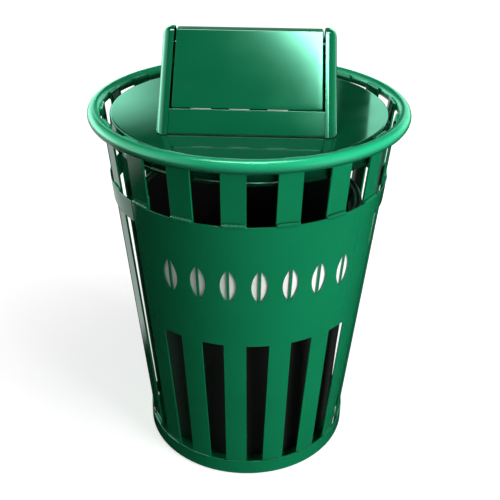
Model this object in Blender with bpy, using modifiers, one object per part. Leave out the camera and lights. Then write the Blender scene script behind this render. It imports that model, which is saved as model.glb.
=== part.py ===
"""Slatted steel compost bin with a black liner and a round lid that carries a swing-top hood.

Metres, +Z up. The origin is the middle of the footprint on the floor. The hood's front faces -Y,
and the body under the lift-off lid is turned from it by BODY_TURN. An azimuth is counted from -Y,
positive towards +X. The slats lean outwards and lie on a cone that is given by its radius at the
floor and by the rim that it meets.
"""

import math

import bmesh
import bpy
from mathutils import Matrix, Vector

# Fits between neighbours
TOUCH = 0.0003              # gap between pieces that rest on or are welded to each other
RUNNING_FIT = 0.0005        # gap between a pin and what turns on it
CUT_PAST = 0.010            # how far a cutter runs out past the wall that it cuts

BODY_TURN = math.radians(6.7)       # azimuth of the middle of the front sheet

# Rim
RING_OUTER_DIAMETER = 0.711
RING_TUBE_DIAMETER = 0.029
RING_TOP = 0.880

# Slats
SLAT_COUNT = 18
SLAT_WIDTH = 0.0508
SLAT_THICKNESS = 0.0048
SLAT_RADIUS_AT_FLOOR = 0.2473
SLAT_ABOVE_RING_MIDDLE = 0.008
SHORT_SLAT_LAP = 0.040      # how far a short slat runs down behind the front sheet

# Bands and front sheet
SHEET_THICKNESS = 0.003
SHEET_SLATS = 6             # slats that the front sheet is as wide as
SHEET_BELOW_RING = 0.155    # from the rim's top down to the sheet's top edge
SLOT_TOP = 0.417
SLOT_CUTTER_REACH = 0.060   # half the depth of the cutters of the slots and cut-outs
UPPER_BAND_HEIGHT = 0.050
BAND_END_GAP = 0.002
BOTTOM_BAND_BOTTOM = 0.006
BOTTOM_BAND_TOP = 0.046
BOTTOM_BAND_THICKNESS = 0.004

# Row of leaf-shaped cut-outs with a rib down the middle of each, and the strip behind it
LEAF_COUNT = 7
LEAF_HEIGHT = 0.080
LEAF_HALF_WIDTH = 0.017
LEAF_RIB = 0.006
LEAF_BELOW_SHEET_TOP = 0.147
LEAF_SPREAD = math.radians(75.0)
LEAF_ARC_STEPS = 5
BACKING_THICKNESS = 0.0015
BACKING_MARGIN = 0.014

# Foot
BASE_PLATE_BOTTOM = 0.022
BASE_PLATE_THICKNESS = 0.003
BASE_PLATE_CLEARANCE = 0.0012
DRAIN_HOLE_RADIUS = 0.010
DRAIN_CIRCLE_RADIUS = 0.120
DRAIN_COUNT = 4
FOOT_COUNT = 4
FOOT_FROM_EDGE = 0.048      # from the base plate's edge in to a foot's middle
FOOT_RADIUS = 0.022
FOOT_TOP_RADIUS = 0.017
FOOT_STRAIGHT = 0.003       # height of the foot's cylindrical lower part
FOOT_SCREW_RADIUS = 0.003
FOOT_SCREW_HEAD_RADIUS = 0.0065
FOOT_SCREW_HEAD_HEIGHT = 0.004
FOOT_SCREW_HEAD_CHAMFER = 0.001
FOOT_RECESS_DEPTH = 0.009

# Liner
LINER_BASE_CLEARANCE = 0.022    # between the liner's base and the slats
LINER_TAPER = 0.0295            # how much wider the liner is under its lip than at its base
LINER_BELOW_LID = 0.156         # from the lid's lower edge down to the liner's lip
LINER_WALL = 0.0035
LINER_LIP = 0.010
LINER_LIP_DROP = 0.018
LINER_FOOT_RADIUS = 0.012
GRIP_HOLE_RADIUS = 0.014
GRIP_HOLE_LENGTH = 0.100
GRIP_HOLE_BELOW_LIP = 0.030
GRIP_HOLE_FLAT = 0.0006     # straight piece left between the round ends' arcs

# Lid
LID_CLEARANCE = 0.0048      # between the lid's hem and the slats
LID_BELOW_RING = 0.015      # from the rim's top down to the lid's top
LID_SHEET = 0.0015
LID_SKIRT = 0.054
LID_CORNER_RADIUS = 0.004
LID_HEM_HEIGHT = 0.008
LID_HEM_PROUD = 0.0025
LID_HEM_CORNER = 0.0024     # height of the bevels at the hem's top and bottom
LUG_WIDTH = 0.030
LUG_THICKNESS = 0.004
LUG_REACH = 0.020
LUG_LEG = 0.028
LUG_SLAT_OFFSETS = (2, 6, -3, -7)   # slats that carry a lug, counted from the front

# Hood
HOOD_HALF_DEPTH = 0.185
HOOD_RIDGE_HALF_DEPTH = 0.0118
HOOD_HEIGHT = 0.171
HOOD_HALF_WIDTH = 0.184
CHEEK_WIDTH = 0.0245
CHEEK_PROUD = 0.003
CHEEK_SHEET = 0.002
CHEEK_NOSE_RADIUS = 0.018
CHEEK_TOP_RADIUS = 0.022
PANEL_SHARE = 0.256         # share of the slope that the fixed lower panel takes
PANEL_SHEET = 0.0015
PANEL_RETURN = 0.012
PANEL_FLANGE = 0.014
THROAT_PAST_CHEEK = 0.0023  # how far the throat's sides lie under the cheeks
THROAT_FROM_FOOT = 0.021    # from the throat's front edge to the foot of the front panel
THROAT_CORNER_RADIUS = 0.005

# Swing flap and its pivot
FLAP_SIDE_CLEARANCE = 0.004
FLAP_EDGE_GAP = 0.003
FLAP_SHEET = 0.0015
FLAP_FLANGE = 0.018
FLAP_RIDGE_LEAST = 0.0005   # least half width that an inner ridge face keeps
FLAP_SWING = math.radians(40.0)
PIVOT_BELOW_RIDGE = 0.034
EAR_THICKNESS = 0.0025
EAR_RUN = 0.030             # how far the ears reach down the slopes
EAR_ROUND_PIVOT = 0.012
SLEEVE_RADIUS = 0.008
ROD_RADIUS = 0.004
SPACER_RADIUS = 0.007
BUSHING_RADIUS = 0.007
BUSHING_FLANGE_RADIUS = 0.010
BUSHING_FLANGE = 0.002
SOCKET_WALL = 0.003
SOCKET_FLOOR = 0.002
SOCKET_DEPTH = 0.008
STOP_RADIUS = 0.010
STOP_SHARE = 0.73           # share of the way from the pivot down to the lid at which a stop sits
STOP_GAP = 0.0008
STOP_REACH = 0.010          # how far a stop reaches in under the flap's side
STOP_STEM_RADIUS = 0.0035
STOP_CHAMFER = 0.002
STOP_HEAD_RADIUS = 0.006
STOP_HEAD_HEIGHT = 0.0025
STOP_HEAD_CHAMFER = 0.001

# Facets
RING_STEPS = 64
RING_TUBE_STEPS = 12
HOOP_STEPS = 60
LINER_STEPS = 40
DRAIN_STEPS = 12
SMALL_STEPS = 16
ARC_STEPS = 3

# Places worked out from the sizes above
RING_TUBE_RADIUS = RING_TUBE_DIAMETER / 2
RING_MIDDLE_RADIUS = RING_OUTER_DIAMETER / 2 - RING_TUBE_RADIUS
RING_INNER_RADIUS = RING_MIDDLE_RADIUS - RING_TUBE_RADIUS
RING_MIDDLE = RING_TOP - RING_TUBE_RADIUS
RING_FACET_RADIUS = RING_INNER_RADIUS * math.cos(math.pi / RING_STEPS)
SLAT_RADIUS_AT_RING = math.sqrt((RING_FACET_RADIUS - TOUCH) ** 2 - (SLAT_WIDTH / 2) ** 2)
SLAT_LEAN = math.atan2(SLAT_RADIUS_AT_RING - SLAT_RADIUS_AT_FLOOR, RING_MIDDLE)
SLAT_PITCH = 2 * math.pi / SLAT_COUNT
SLAT_TOP = RING_MIDDLE + SLAT_ABOVE_RING_MIDDLE
SLAT_BOTTOM = BOTTOM_BAND_BOTTOM + 2 * TOUCH
SLAT_DEPTH = SLAT_THICKNESS / math.cos(SLAT_LEAN)
SLAT_INNER_AT_FLOOR = SLAT_RADIUS_AT_FLOOR - SLAT_DEPTH
SHEET_TOP = RING_TOP - SHEET_BELOW_RING
LEAF_MIDDLE = SHEET_TOP - LEAF_BELOW_SHEET_TOP
BASE_PLATE_TOP = BASE_PLATE_BOTTOM + BASE_PLATE_THICKNESS
BASE_PLATE_RADIUS = SLAT_INNER_AT_FLOOR + BASE_PLATE_BOTTOM * math.tan(SLAT_LEAN) - BASE_PLATE_CLEARANCE
FOOT_CIRCLE_RADIUS = BASE_PLATE_RADIUS - FOOT_FROM_EDGE
LID_TOP = RING_TOP - LID_BELOW_RING
LID_SKIRT_BOTTOM = LID_TOP - LID_SKIRT
LID_HEM_RADIUS = SLAT_INNER_AT_FLOOR + LID_SKIRT_BOTTOM * math.tan(SLAT_LEAN) - LID_CLEARANCE
LID_RADIUS = LID_HEM_RADIUS - LID_HEM_PROUD
LINER_BASE_RADIUS = SLAT_INNER_AT_FLOOR + BASE_PLATE_TOP * math.tan(SLAT_LEAN) - LINER_BASE_CLEARANCE
LINER_RIM_RADIUS = LINER_BASE_RADIUS + LINER_TAPER
LINER_TOP = LID_SKIRT_BOTTOM - LINER_BELOW_LID
HOOD_BASE = LID_TOP + TOUCH
HOOD_RIDGE_TOP = LID_TOP + HOOD_HEIGHT
HOOD_SLOPE = math.atan2(HOOD_HEIGHT, HOOD_HALF_DEPTH - HOOD_RIDGE_HALF_DEPTH)
SLOPE_LENGTH = math.hypot(HOOD_HEIGHT, HOOD_HALF_DEPTH - HOOD_RIDGE_HALF_DEPTH)
DOOR_LENGTH = SLOPE_LENGTH * (1 - PANEL_SHARE)
CHEEK_INNER = HOOD_HALF_WIDTH - CHEEK_WIDTH
CHEEK_WALL_INNER = HOOD_HALF_WIDTH - CHEEK_SHEET
THROAT_HALF_WIDTH = CHEEK_INNER + THROAT_PAST_CHEEK
THROAT_HALF_DEPTH = HOOD_HALF_DEPTH - THROAT_FROM_FOOT
FLAP_HALF_WIDTH = CHEEK_INNER - FLAP_SIDE_CLEARANCE
PIVOT_HEIGHT = HOOD_RIDGE_TOP - PIVOT_BELOW_RIDGE
STOP_BELOW_PIVOT = STOP_SHARE * (PIVOT_HEIGHT - LID_TOP)
STOP_HEIGHT = PIVOT_HEIGHT - STOP_BELOW_PIVOT

GREEN = (0.010, 0.165, 0.065)
BRIGHT_GREEN = (0.040, 0.400, 0.180)
BLACK = (0.004, 0.004, 0.004)
WHITE = (0.82, 0.83, 0.84)
ZINC = (0.60, 0.61, 0.62)
RUBBER = (0.012, 0.012, 0.013)
NYLON = (0.70, 0.69, 0.64)


def slat_radius(height):
    """Distance from the axis to the middle of a slat's outer face at a height."""
    return SLAT_RADIUS_AT_FLOOR + height * math.tan(SLAT_LEAN)


def hoop_radius(height):
    """Inner radius of a hoop whose facets clear the corners of the flat slats at a height."""
    corner = math.hypot(slat_radius(height), SLAT_WIDTH / 2)
    return (corner + TOUCH) / math.cos(math.pi / HOOP_STEPS)


def azimuth_vector(azimuth, radius, height):
    return Vector((radius * math.sin(azimuth), -radius * math.cos(azimuth), height))


def slat_azimuth(index):
    """Azimuth of a slat: 0 is the first one right of the front gap, -1 the first left of it."""
    return BODY_TURN + (index + 0.5) * SLAT_PITCH


def clear_scene():
    for old in list(bpy.data.objects):
        bpy.data.objects.remove(old, do_unlink=True)


def new_collection(name):
    made = bpy.data.collections.new(name)
    bpy.context.scene.collection.children.link(made)
    return made


def new_material(name, colour, roughness, metallic=0.0):
    made = bpy.data.materials.new(name)
    made.use_nodes = True
    shader = made.node_tree.nodes["Principled BSDF"]
    shader.inputs["Base Color"].default_value = (*colour, 1.0)
    shader.inputs["Roughness"].default_value = roughness
    shader.inputs["Metallic"].default_value = metallic
    made.diffuse_color = (*colour, 1.0)
    return made


def mesh_object(name, mesh, collection, finish=None):
    made = bpy.data.objects.new(name, mesh)
    collection.objects.link(made)
    if finish is not None:
        mesh.materials.append(finish)
    return made


def object_from_bmesh(name, work, collection, finish=None):
    mesh = bpy.data.meshes.new(name)
    work.to_mesh(mesh)
    work.free()
    return mesh_object(name, mesh, collection, finish)


def smooth(piece, sharp_degrees=35.0):
    piece.data.shade_smooth()
    piece.data.set_sharp_from_angle(angle=math.radians(sharp_degrees))


def rounded(points, radius, steps=ARC_STEPS):
    """The closed outline with each of its corners replaced by an arc of the given radius."""
    outline = []
    for index, corner in enumerate(points):
        here = Vector(corner)
        back = (Vector(points[index - 1]) - here).normalized()
        ahead = (Vector(points[(index + 1) % len(points)]) - here).normalized()
        half = back.angle(ahead) / 2
        reach = radius / math.tan(half)
        middle = here + (back + ahead).normalized() * (radius / math.sin(half))
        first = here + back * reach - middle
        last = here + ahead * reach - middle
        turn = first.angle(last)
        for step in range(steps + 1):
            share = step / steps
            spoke = (first * math.sin((1 - share) * turn) + last * math.sin(share * turn)) / math.sin(turn)
            outline.append(tuple(middle + spoke))
    return outline


def plate(name, outline, thickness, collection, finish=None):
    """A flat plate in its local XY plane, half its thickness to each side, as a welded mesh."""
    curve = bpy.data.curves.new(name, "CURVE")
    curve.dimensions = "2D"
    curve.fill_mode = "BOTH"
    curve.extrude = thickness / 2
    spline = curve.splines.new("POLY")
    spline.points.add(len(outline) - 1)
    for point, (x, y) in zip(spline.points, outline):
        point.co = (x, y, 0.0, 1.0)
    spline.use_cyclic_u = True
    drawn = bpy.data.objects.new(name + "_outline", curve)
    collection.objects.link(drawn)
    graph = bpy.context.evaluated_depsgraph_get()
    graph.update()
    mesh = bpy.data.meshes.new_from_object(drawn.evaluated_get(graph))
    bpy.data.objects.remove(drawn, do_unlink=True)
    work = bmesh.new()
    work.from_mesh(mesh)
    bmesh.ops.remove_doubles(work, verts=work.verts, dist=0.00001)
    bmesh.ops.dissolve_limit(work, angle_limit=0.001, verts=work.verts, edges=work.edges)
    bmesh.ops.recalc_face_normals(work, faces=work.faces)
    bpy.data.meshes.remove(mesh)
    return object_from_bmesh(name, work, collection, finish)


def box(name, size, collection, finish=None, top_width=None):
    """A box centred on its own origin; top_width, where given, is its width along X at the top."""
    work = bmesh.new()
    bmesh.ops.create_cube(work, size=1.0)
    bmesh.ops.scale(work, vec=Vector(size), verts=work.verts)
    if top_width is not None:
        upper = [vertex for vertex in work.verts if vertex.co.z > 0]
        bmesh.ops.scale(work, vec=Vector((top_width / size[0], 1.0, 1.0)), verts=upper)
    return object_from_bmesh(name, work, collection, finish)


def cylinder(name, radius, length, collection, finish=None, top_radius=None, steps=SMALL_STEPS):
    """A cylinder or cone centred on its own origin, with its axis along its local Z."""
    work = bmesh.new()
    upper = radius if top_radius is None else top_radius
    bmesh.ops.create_cone(work, cap_ends=True, segments=steps, radius1=radius, radius2=upper, depth=length)
    made = object_from_bmesh(name, work, collection, finish)
    smooth(made)
    return made


def turned(name, profile, steps, collection, finish, closed=True, start=0.0, sweep=2 * math.pi):
    """A profile of (radius, height) points swept round Z from the azimuth start."""
    mesh = bpy.data.meshes.new(name)
    last = len(profile) - 1
    edges = [(index, index + 1) for index in range(last)]
    if closed:
        edges.append((last, 0))
    mesh.from_pydata([(radius, 0.0, height) for radius, height in profile], edges, [])
    made = mesh_object(name, mesh, collection, finish)
    screw = made.modifiers.new("Turn", "SCREW")
    screw.axis = "Z"
    screw.angle = sweep
    screw.steps = steps
    screw.render_steps = steps
    screw.use_merge_vertices = sweep >= 2 * math.pi
    screw.merge_threshold = 0.00001
    screw.use_smooth_shade = True
    made.rotation_euler = (0.0, 0.0, start - math.pi / 2)
    return made


def thicken(piece, thickness, offset):
    wall = piece.modifiers.new("Wall", "SOLIDIFY")
    wall.thickness = thickness
    wall.offset = offset
    wall.use_even_offset = True
    wall.use_quality_normals = True


def cut(piece, cutter, operation="DIFFERENCE"):
    change = piece.modifiers.new("Cut " + cutter.name, "BOOLEAN")
    change.operation = operation
    change.solver = "EXACT"
    change.object = cutter
    cutter.hide_render = True
    cutter.display_type = "WIRE"


def lay_on_cone(piece, azimuth, height, radius):
    """Stand a piece on the slats' cone: local Z up the slat, local -Y outwards."""
    place = Matrix.Translation(azimuth_vector(azimuth, radius, height))
    turn = Matrix.Rotation(azimuth, 4, "Z") @ Matrix.Rotation(SLAT_LEAN, 4, "X")
    piece.matrix_world = place @ turn


def facing_side(side, x, y, z):
    """Placement with local Z along +X or -X by side, and local Y upwards."""
    turn = Matrix(((0, 0, side), (side, 0, 0), (0, 1, 0))).to_4x4()
    return Matrix.Translation((x, y, z)) @ turn


def point_sideways(piece, x, y, z):
    piece.matrix_world = facing_side(1, x, y, z)


def make_ring(parts, finish):
    bpy.ops.mesh.primitive_torus_add(
        major_radius=RING_MIDDLE_RADIUS,
        minor_radius=RING_TUBE_RADIUS,
        major_segments=RING_STEPS,
        minor_segments=RING_TUBE_STEPS,
        location=(0.0, 0.0, RING_MIDDLE),
    )
    ring = bpy.context.object
    ring.name = "top_ring"
    ring.data.materials.append(finish)
    for home in list(ring.users_collection):
        home.objects.unlink(ring)
    parts.objects.link(ring)
    smooth(ring)


def make_slat(name, azimuth, bottom, top, parts, finish):
    """A flat bar whose outer face lies on the cone between two heights."""
    length = (top - bottom) / math.cos(SLAT_LEAN)
    bar = box(name, (SLAT_WIDTH, SLAT_THICKNESS, length), parts, finish)
    middle = (top + bottom) / 2
    lay_on_cone(bar, azimuth, middle, slat_radius(middle) - SLAT_DEPTH / 2)


def make_slats(parts, finish):
    half = SHEET_SLATS // 2
    for number, index in enumerate(range(-half, half), start=1):
        bottom = SHEET_TOP - SHORT_SLAT_LAP
        make_slat(f"short_slat_{number}", slat_azimuth(index), bottom, SLAT_TOP, parts, finish)
    for number, index in enumerate(range(half, SLAT_COUNT - half), start=1):
        make_slat(f"slat_{number:02d}", slat_azimuth(index), SLAT_BOTTOM, SLAT_TOP, parts, finish)


def sheet_half_angle():
    """Half the front sheet's sweep; its ends are the outer edges of its outermost fingers."""
    finger = SLAT_WIDTH / 2 / slat_radius((SHEET_TOP + BOTTOM_BAND_TOP) / 2)
    return (SHEET_SLATS - 1) / 2 * SLAT_PITCH + finger


def make_bands(parts, finish):
    sheet_end = sheet_half_angle() + BAND_END_GAP / slat_radius(SHEET_TOP)
    bottom = SHEET_TOP - UPPER_BAND_HEIGHT
    profile = [(hoop_radius(SHEET_TOP), SHEET_TOP), (hoop_radius(bottom), bottom)]
    sweep = 2 * (math.pi - sheet_end)
    steps = round(HOOP_STEPS * sweep / (2 * math.pi))
    upper = turned("upper_band", profile, steps, parts, finish, False, BODY_TURN + sheet_end, sweep)
    thicken(upper, SHEET_THICKNESS, 1.0)

    inner = hoop_radius(BOTTOM_BAND_TOP)
    outer = inner + BOTTOM_BAND_THICKNESS
    low = BOTTOM_BAND_BOTTOM
    hoop = [(inner, BOTTOM_BAND_TOP), (outer, BOTTOM_BAND_TOP), (outer, low), (inner, low)]
    turned("bottom_band", hoop, HOOP_STEPS, parts, finish)


def half_leaf(side):
    """One half of a leaf: a straight edge along the rib and a circular arc to the tips."""
    half_height = LEAF_HEIGHT / 2
    inner = LEAF_RIB / 2
    bulge = LEAF_HALF_WIDTH - inner
    radius = (half_height ** 2 + bulge ** 2) / (2 * bulge)
    reach = math.asin(half_height / radius)
    points = []
    for step in range(LEAF_ARC_STEPS + 1):
        turn = reach * (2 * step / LEAF_ARC_STEPS - 1)
        points.append((side * (inner + bulge - radius * (1 - math.cos(turn))), radius * math.sin(turn)))
    return points


def leaf_azimuths():
    pitch = LEAF_SPREAD / (LEAF_COUNT - 1)
    return [BODY_TURN + (index - (LEAF_COUNT - 1) / 2) * pitch for index in range(LEAF_COUNT)]


def make_front_sheet(parts, cutters, finish):
    end = sheet_half_angle()
    bottom = BOTTOM_BAND_TOP + TOUCH
    profile = [(hoop_radius(SHEET_TOP), SHEET_TOP), (hoop_radius(bottom), bottom)]
    steps = 2 * round(HOOP_STEPS * end / (2 * math.pi))
    sheet = turned("front_sheet", profile, steps, parts, finish, False, BODY_TURN - end, 2 * end)
    thicken(sheet, SHEET_THICKNESS, 1.0)

    reach = SLOT_CUTTER_REACH
    low = bottom - CUT_PAST
    slot_height = SLOT_TOP - low
    middle = (SLOT_TOP + low) / 2
    half = SHEET_SLATS // 2
    for number, index in enumerate(range(1 - half, half), start=1):
        wide = 2 * hoop_radius(SLOT_TOP) * math.tan(SLAT_PITCH / 2) - SLAT_WIDTH
        narrow = 2 * hoop_radius(low) * math.tan(SLAT_PITCH / 2) - SLAT_WIDTH
        slot = box(f"slot_cutter_{number}", (narrow, 2 * reach, slot_height), cutters, None, wide)
        azimuth = BODY_TURN + index * SLAT_PITCH
        place = Matrix.Translation(azimuth_vector(azimuth, slat_radius(middle), middle))
        slot.matrix_world = place @ Matrix.Rotation(azimuth, 4, "Z")
        cut(sheet, slot)

    radius = hoop_radius(LEAF_MIDDLE)
    for number, azimuth in enumerate(leaf_azimuths(), start=1):
        for side, word in ((-1, "left"), (1, "right")):
            leaf = plate(f"leaf_cutter_{number}_{word}", half_leaf(side), reach, cutters)
            place = Matrix.Translation(azimuth_vector(azimuth, radius, LEAF_MIDDLE))
            turn = Matrix.Rotation(azimuth, 4, "Z") @ Matrix.Rotation(math.pi / 2 + SLAT_LEAN, 4, "X")
            leaf.matrix_world = place @ turn
            cut(sheet, leaf)


def make_sign_backing(parts, finish):
    radius = slat_radius(LEAF_MIDDLE)
    end = LEAF_SPREAD / 2 + (LEAF_HALF_WIDTH + BACKING_MARGIN) / radius
    top = LEAF_MIDDLE + LEAF_HEIGHT / 2 + BACKING_MARGIN
    bottom = LEAF_MIDDLE - LEAF_HEIGHT / 2 - BACKING_MARGIN
    profile = [(hoop_radius(top) - TOUCH, top), (hoop_radius(bottom) - TOUCH, bottom)]
    steps = 2 * round(HOOP_STEPS * end / (2 * math.pi))
    backing = turned("sign_backing", profile, steps, parts, finish, False, BODY_TURN - end, 2 * end)
    thicken(backing, BACKING_THICKNESS, -1.0)


def make_base_plate(parts, cutters, finish):
    base = cylinder("base_plate", BASE_PLATE_RADIUS, BASE_PLATE_THICKNESS, parts, finish, steps=HOOP_STEPS)
    base.location.z = (BASE_PLATE_BOTTOM + BASE_PLATE_TOP) / 2
    spots = [(0.0, 0.0)]
    for index in range(DRAIN_COUNT):
        turn = 2 * math.pi * index / DRAIN_COUNT
        spots.append((DRAIN_CIRCLE_RADIUS * math.sin(turn), DRAIN_CIRCLE_RADIUS * math.cos(turn)))
    for number, (x, y) in enumerate(spots, start=1):
        depth = 2 * CUT_PAST
        drain = cylinder(f"drain_cutter_{number}", DRAIN_HOLE_RADIUS, depth, cutters, steps=DRAIN_STEPS)
        drain.location = (x, y, base.location.z)
        cut(base, drain)
    for number, azimuth in enumerate(foot_azimuths(), start=1):
        radius = FOOT_SCREW_RADIUS + RUNNING_FIT
        hole = cylinder(f"foot_hole_cutter_{number}", radius, 2 * CUT_PAST, cutters, steps=DRAIN_STEPS)
        hole.location = azimuth_vector(azimuth, FOOT_CIRCLE_RADIUS, base.location.z)
        cut(base, hole)


def foot_azimuths():
    return [BODY_TURN + 2 * math.pi * (index + 0.5) / FOOT_COUNT for index in range(FOOT_COUNT)]


def make_feet(parts, rubber, zinc):
    top = BASE_PLATE_BOTTOM - TOUCH
    bore = FOOT_SCREW_RADIUS + RUNNING_FIT
    recess = FOOT_SCREW_HEAD_RADIUS + RUNNING_FIT
    profile = [
        (bore, top),
        (FOOT_TOP_RADIUS, top),
        (FOOT_RADIUS, FOOT_STRAIGHT),
        (FOOT_RADIUS, 0.0),
        (recess, 0.0),
        (recess, FOOT_RECESS_DEPTH),
        (bore, FOOT_RECESS_DEPTH),
    ]
    head_top = FOOT_RECESS_DEPTH - TOUCH
    head_bottom = head_top - FOOT_SCREW_HEAD_HEIGHT
    screw_profile = [
        (0.0, BASE_PLATE_TOP - TOUCH),
        (FOOT_SCREW_RADIUS, BASE_PLATE_TOP - TOUCH),
        (FOOT_SCREW_RADIUS, head_top),
        (FOOT_SCREW_HEAD_RADIUS, head_top),
        (FOOT_SCREW_HEAD_RADIUS, head_bottom + FOOT_SCREW_HEAD_CHAMFER),
        (FOOT_SCREW_HEAD_RADIUS - FOOT_SCREW_HEAD_CHAMFER, head_bottom),
        (0.0, head_bottom),
    ]
    for number, azimuth in enumerate(foot_azimuths(), start=1):
        spot = azimuth_vector(azimuth, FOOT_CIRCLE_RADIUS, 0.0)
        foot = turned(f"foot_{number}", profile, SMALL_STEPS, parts, rubber)
        foot.location = spot
        screw = turned(f"foot_screw_{number}", screw_profile, DRAIN_STEPS, parts, zinc, False)
        screw.location = spot


def make_lid_lugs(parts, finish):
    """Angle brackets on the slats' inner faces; the lid's skirt stands on their upper legs."""
    top = LID_SKIRT_BOTTOM - TOUCH
    for number, index in enumerate(LUG_SLAT_OFFSETS, start=1):
        outline = [
            (0.0, 0.0),
            (LUG_REACH, 0.0),
            (LUG_REACH, -LUG_THICKNESS),
            (LUG_THICKNESS, -LUG_THICKNESS),
            (LUG_THICKNESS, -LUG_LEG),
            (0.0, -LUG_LEG),
        ]
        leaning = [(y * math.tan(SLAT_LEAN) - x, y) for x, y in outline]
        inner = slat_radius(top) - SLAT_DEPTH - TOUCH
        lug = plate(f"lid_lug_{number}", leaning, LUG_WIDTH, parts, finish)
        azimuth = slat_azimuth(index)
        outwards = azimuth_vector(azimuth, 1.0, 0.0)
        upwards = Vector((0.0, 0.0, 1.0))
        across = outwards.cross(upwards)
        turn = Matrix((outwards, upwards, across)).transposed().to_4x4()
        lug.matrix_world = Matrix.Translation(azimuth_vector(azimuth, inner, top)) @ turn


def make_liner(parts, cutters, finish):
    bottom = BASE_PLATE_TOP + TOUCH
    wall = LINER_WALL
    corner = LINER_FOOT_RADIUS
    inner_corner = corner - wall
    lip_inner = LINER_RIM_RADIUS - wall
    lip_outer = LINER_RIM_RADIUS + LINER_LIP
    profile = [(0.0, bottom + wall)]
    for step in range(ARC_STEPS + 1):
        turn = math.pi / 2 * step / ARC_STEPS
        radius = LINER_BASE_RADIUS - corner + inner_corner * math.sin(turn)
        profile.append((radius, bottom + corner - inner_corner * math.cos(turn)))
    profile += [
        (lip_inner, LINER_TOP - wall),
        (lip_inner + wall, LINER_TOP),
        (lip_outer - wall, LINER_TOP),
        (lip_outer, LINER_TOP - wall),
        (lip_outer, LINER_TOP - LINER_LIP_DROP),
        (lip_outer - wall, LINER_TOP - LINER_LIP_DROP),
        (lip_outer - wall, LINER_TOP - 2 * wall),
        (LINER_RIM_RADIUS, LINER_TOP - 2 * wall),
    ]
    for step in range(ARC_STEPS + 1):
        turn = math.pi / 2 * (1 - step / ARC_STEPS)
        radius = LINER_BASE_RADIUS - corner + corner * math.sin(turn)
        profile.append((radius, bottom + corner - corner * math.cos(turn)))
    profile.append((0.0, bottom))
    liner = turned("liner", profile, LINER_STEPS, parts, finish, False)
    middle = LINER_TOP - LINER_LIP_DROP - GRIP_HOLE_BELOW_LIP
    half, high = GRIP_HOLE_LENGTH / 2, GRIP_HOLE_RADIUS
    corners = [(-half, -high), (half, -high), (half, high), (-half, high)]
    outline = rounded(corners, high - GRIP_HOLE_FLAT / 2)
    hole = plate("grip_cutter", outline, 2 * (lip_outer + CUT_PAST), cutters)
    point_sideways(hole, 0.0, 0.0, middle)
    cut(liner, hole)


def make_lid(parts, cutters, finish):
    """A flat disc with the throat cut through it, and the rolled skirt welded round its edge."""
    corner = LID_CORNER_RADIUS
    low = LID_SKIRT_BOTTOM
    inner_corner = corner - LID_SHEET
    seam = LID_RADIUS - corner
    profile = []
    for step in range(ARC_STEPS + 1):
        turn = math.pi / 2 * step / ARC_STEPS
        profile.append((seam + corner * math.sin(turn), LID_TOP - corner + corner * math.cos(turn)))
    profile += [
        (LID_RADIUS, low + LID_HEM_HEIGHT),
        (LID_HEM_RADIUS, low + LID_HEM_HEIGHT - LID_HEM_CORNER),
        (LID_HEM_RADIUS, low + LID_HEM_CORNER),
        (LID_RADIUS, low),
        (LID_RADIUS - LID_SHEET, low),
    ]
    for step in range(ARC_STEPS + 1):
        turn = math.pi / 2 * (1 - step / ARC_STEPS)
        profile.append((seam + inner_corner * math.sin(turn), LID_TOP - corner + inner_corner * math.cos(turn)))
    turned("lid_skirt", profile, HOOP_STEPS, parts, finish)
    disc = cylinder("lid_disc", seam - TOUCH, LID_SHEET, parts, finish, steps=HOOP_STEPS)
    disc.location.z = LID_TOP - LID_SHEET / 2
    wide, deep = THROAT_HALF_WIDTH, THROAT_HALF_DEPTH
    corners = [(-wide, -deep), (wide, -deep), (wide, deep), (-wide, deep)]
    throat = plate("throat_cutter", rounded(corners, THROAT_CORNER_RADIUS), 2 * CUT_PAST, cutters)
    throat.location.z = LID_TOP
    cut(disc, throat)


def slope_point(along, depth, side):
    """Point (y, z) on a slope: along from the ridge edge down it, depth inwards from its face."""
    y = -HOOD_RIDGE_HALF_DEPTH - along * math.cos(HOOD_SLOPE) + depth * math.sin(HOOD_SLOPE)
    z = HOOD_RIDGE_TOP - along * math.sin(HOOD_SLOPE) - depth * math.cos(HOOD_SLOPE)
    return (-side * y, z)


def ridge_point(depth, side):
    """Point where the slope's face and the ridge's face meet, both moved inwards by depth."""
    y = HOOD_RIDGE_HALF_DEPTH - depth * math.tan(HOOD_SLOPE / 2)
    return (side * max(y, FLAP_RIDGE_LEAST), HOOD_RIDGE_TOP - depth)


def tent_outline(proud, bottom):
    """Side view of the hood, its faces moved outwards by proud and its foot cut at a height."""
    run = (HOOD_RIDGE_TOP - bottom) / math.tan(HOOD_SLOPE) + proud / math.sin(HOOD_SLOPE)
    foot = HOOD_RIDGE_HALF_DEPTH + run
    top_y, top_z = ridge_point(-proud, 1)
    return [(-foot, bottom), (-top_y, top_z), (top_y, top_z), (foot, bottom)]


def cheek_solid(name, inset, bottom, collection, finish=None):
    """A plate with the hood's side view, inset from the cheek's faces, its outer edges rounded.

    The rounded outer face is at local +Z.
    """
    corners = tent_outline(CHEEK_PROUD - inset, bottom)
    tops = rounded(corners, CHEEK_TOP_RADIUS)[ARC_STEPS + 1:3 * (ARC_STEPS + 1)]
    outline = [corners[0]] + tops + [corners[-1]]
    solid = plate(name, outline, CHEEK_WIDTH, collection, finish)
    work = bmesh.new()
    work.from_mesh(solid.data)
    rim = []
    for edge in work.edges:
        first, second = (vertex.co for vertex in edge.verts)
        on_face = first.z > 0 and second.z > 0
        at_foot = max(first.y, second.y) < bottom + TOUCH
        if on_face and not at_foot and edge.calc_face_angle() > math.pi / 4:
            rim.append(edge)
    nose = CHEEK_NOSE_RADIUS - inset
    bmesh.ops.bevel(work, geom=rim, offset=nose, segments=ARC_STEPS, profile=0.5, affect="EDGES")
    work.to_mesh(solid.data)
    work.free()
    return solid


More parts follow.
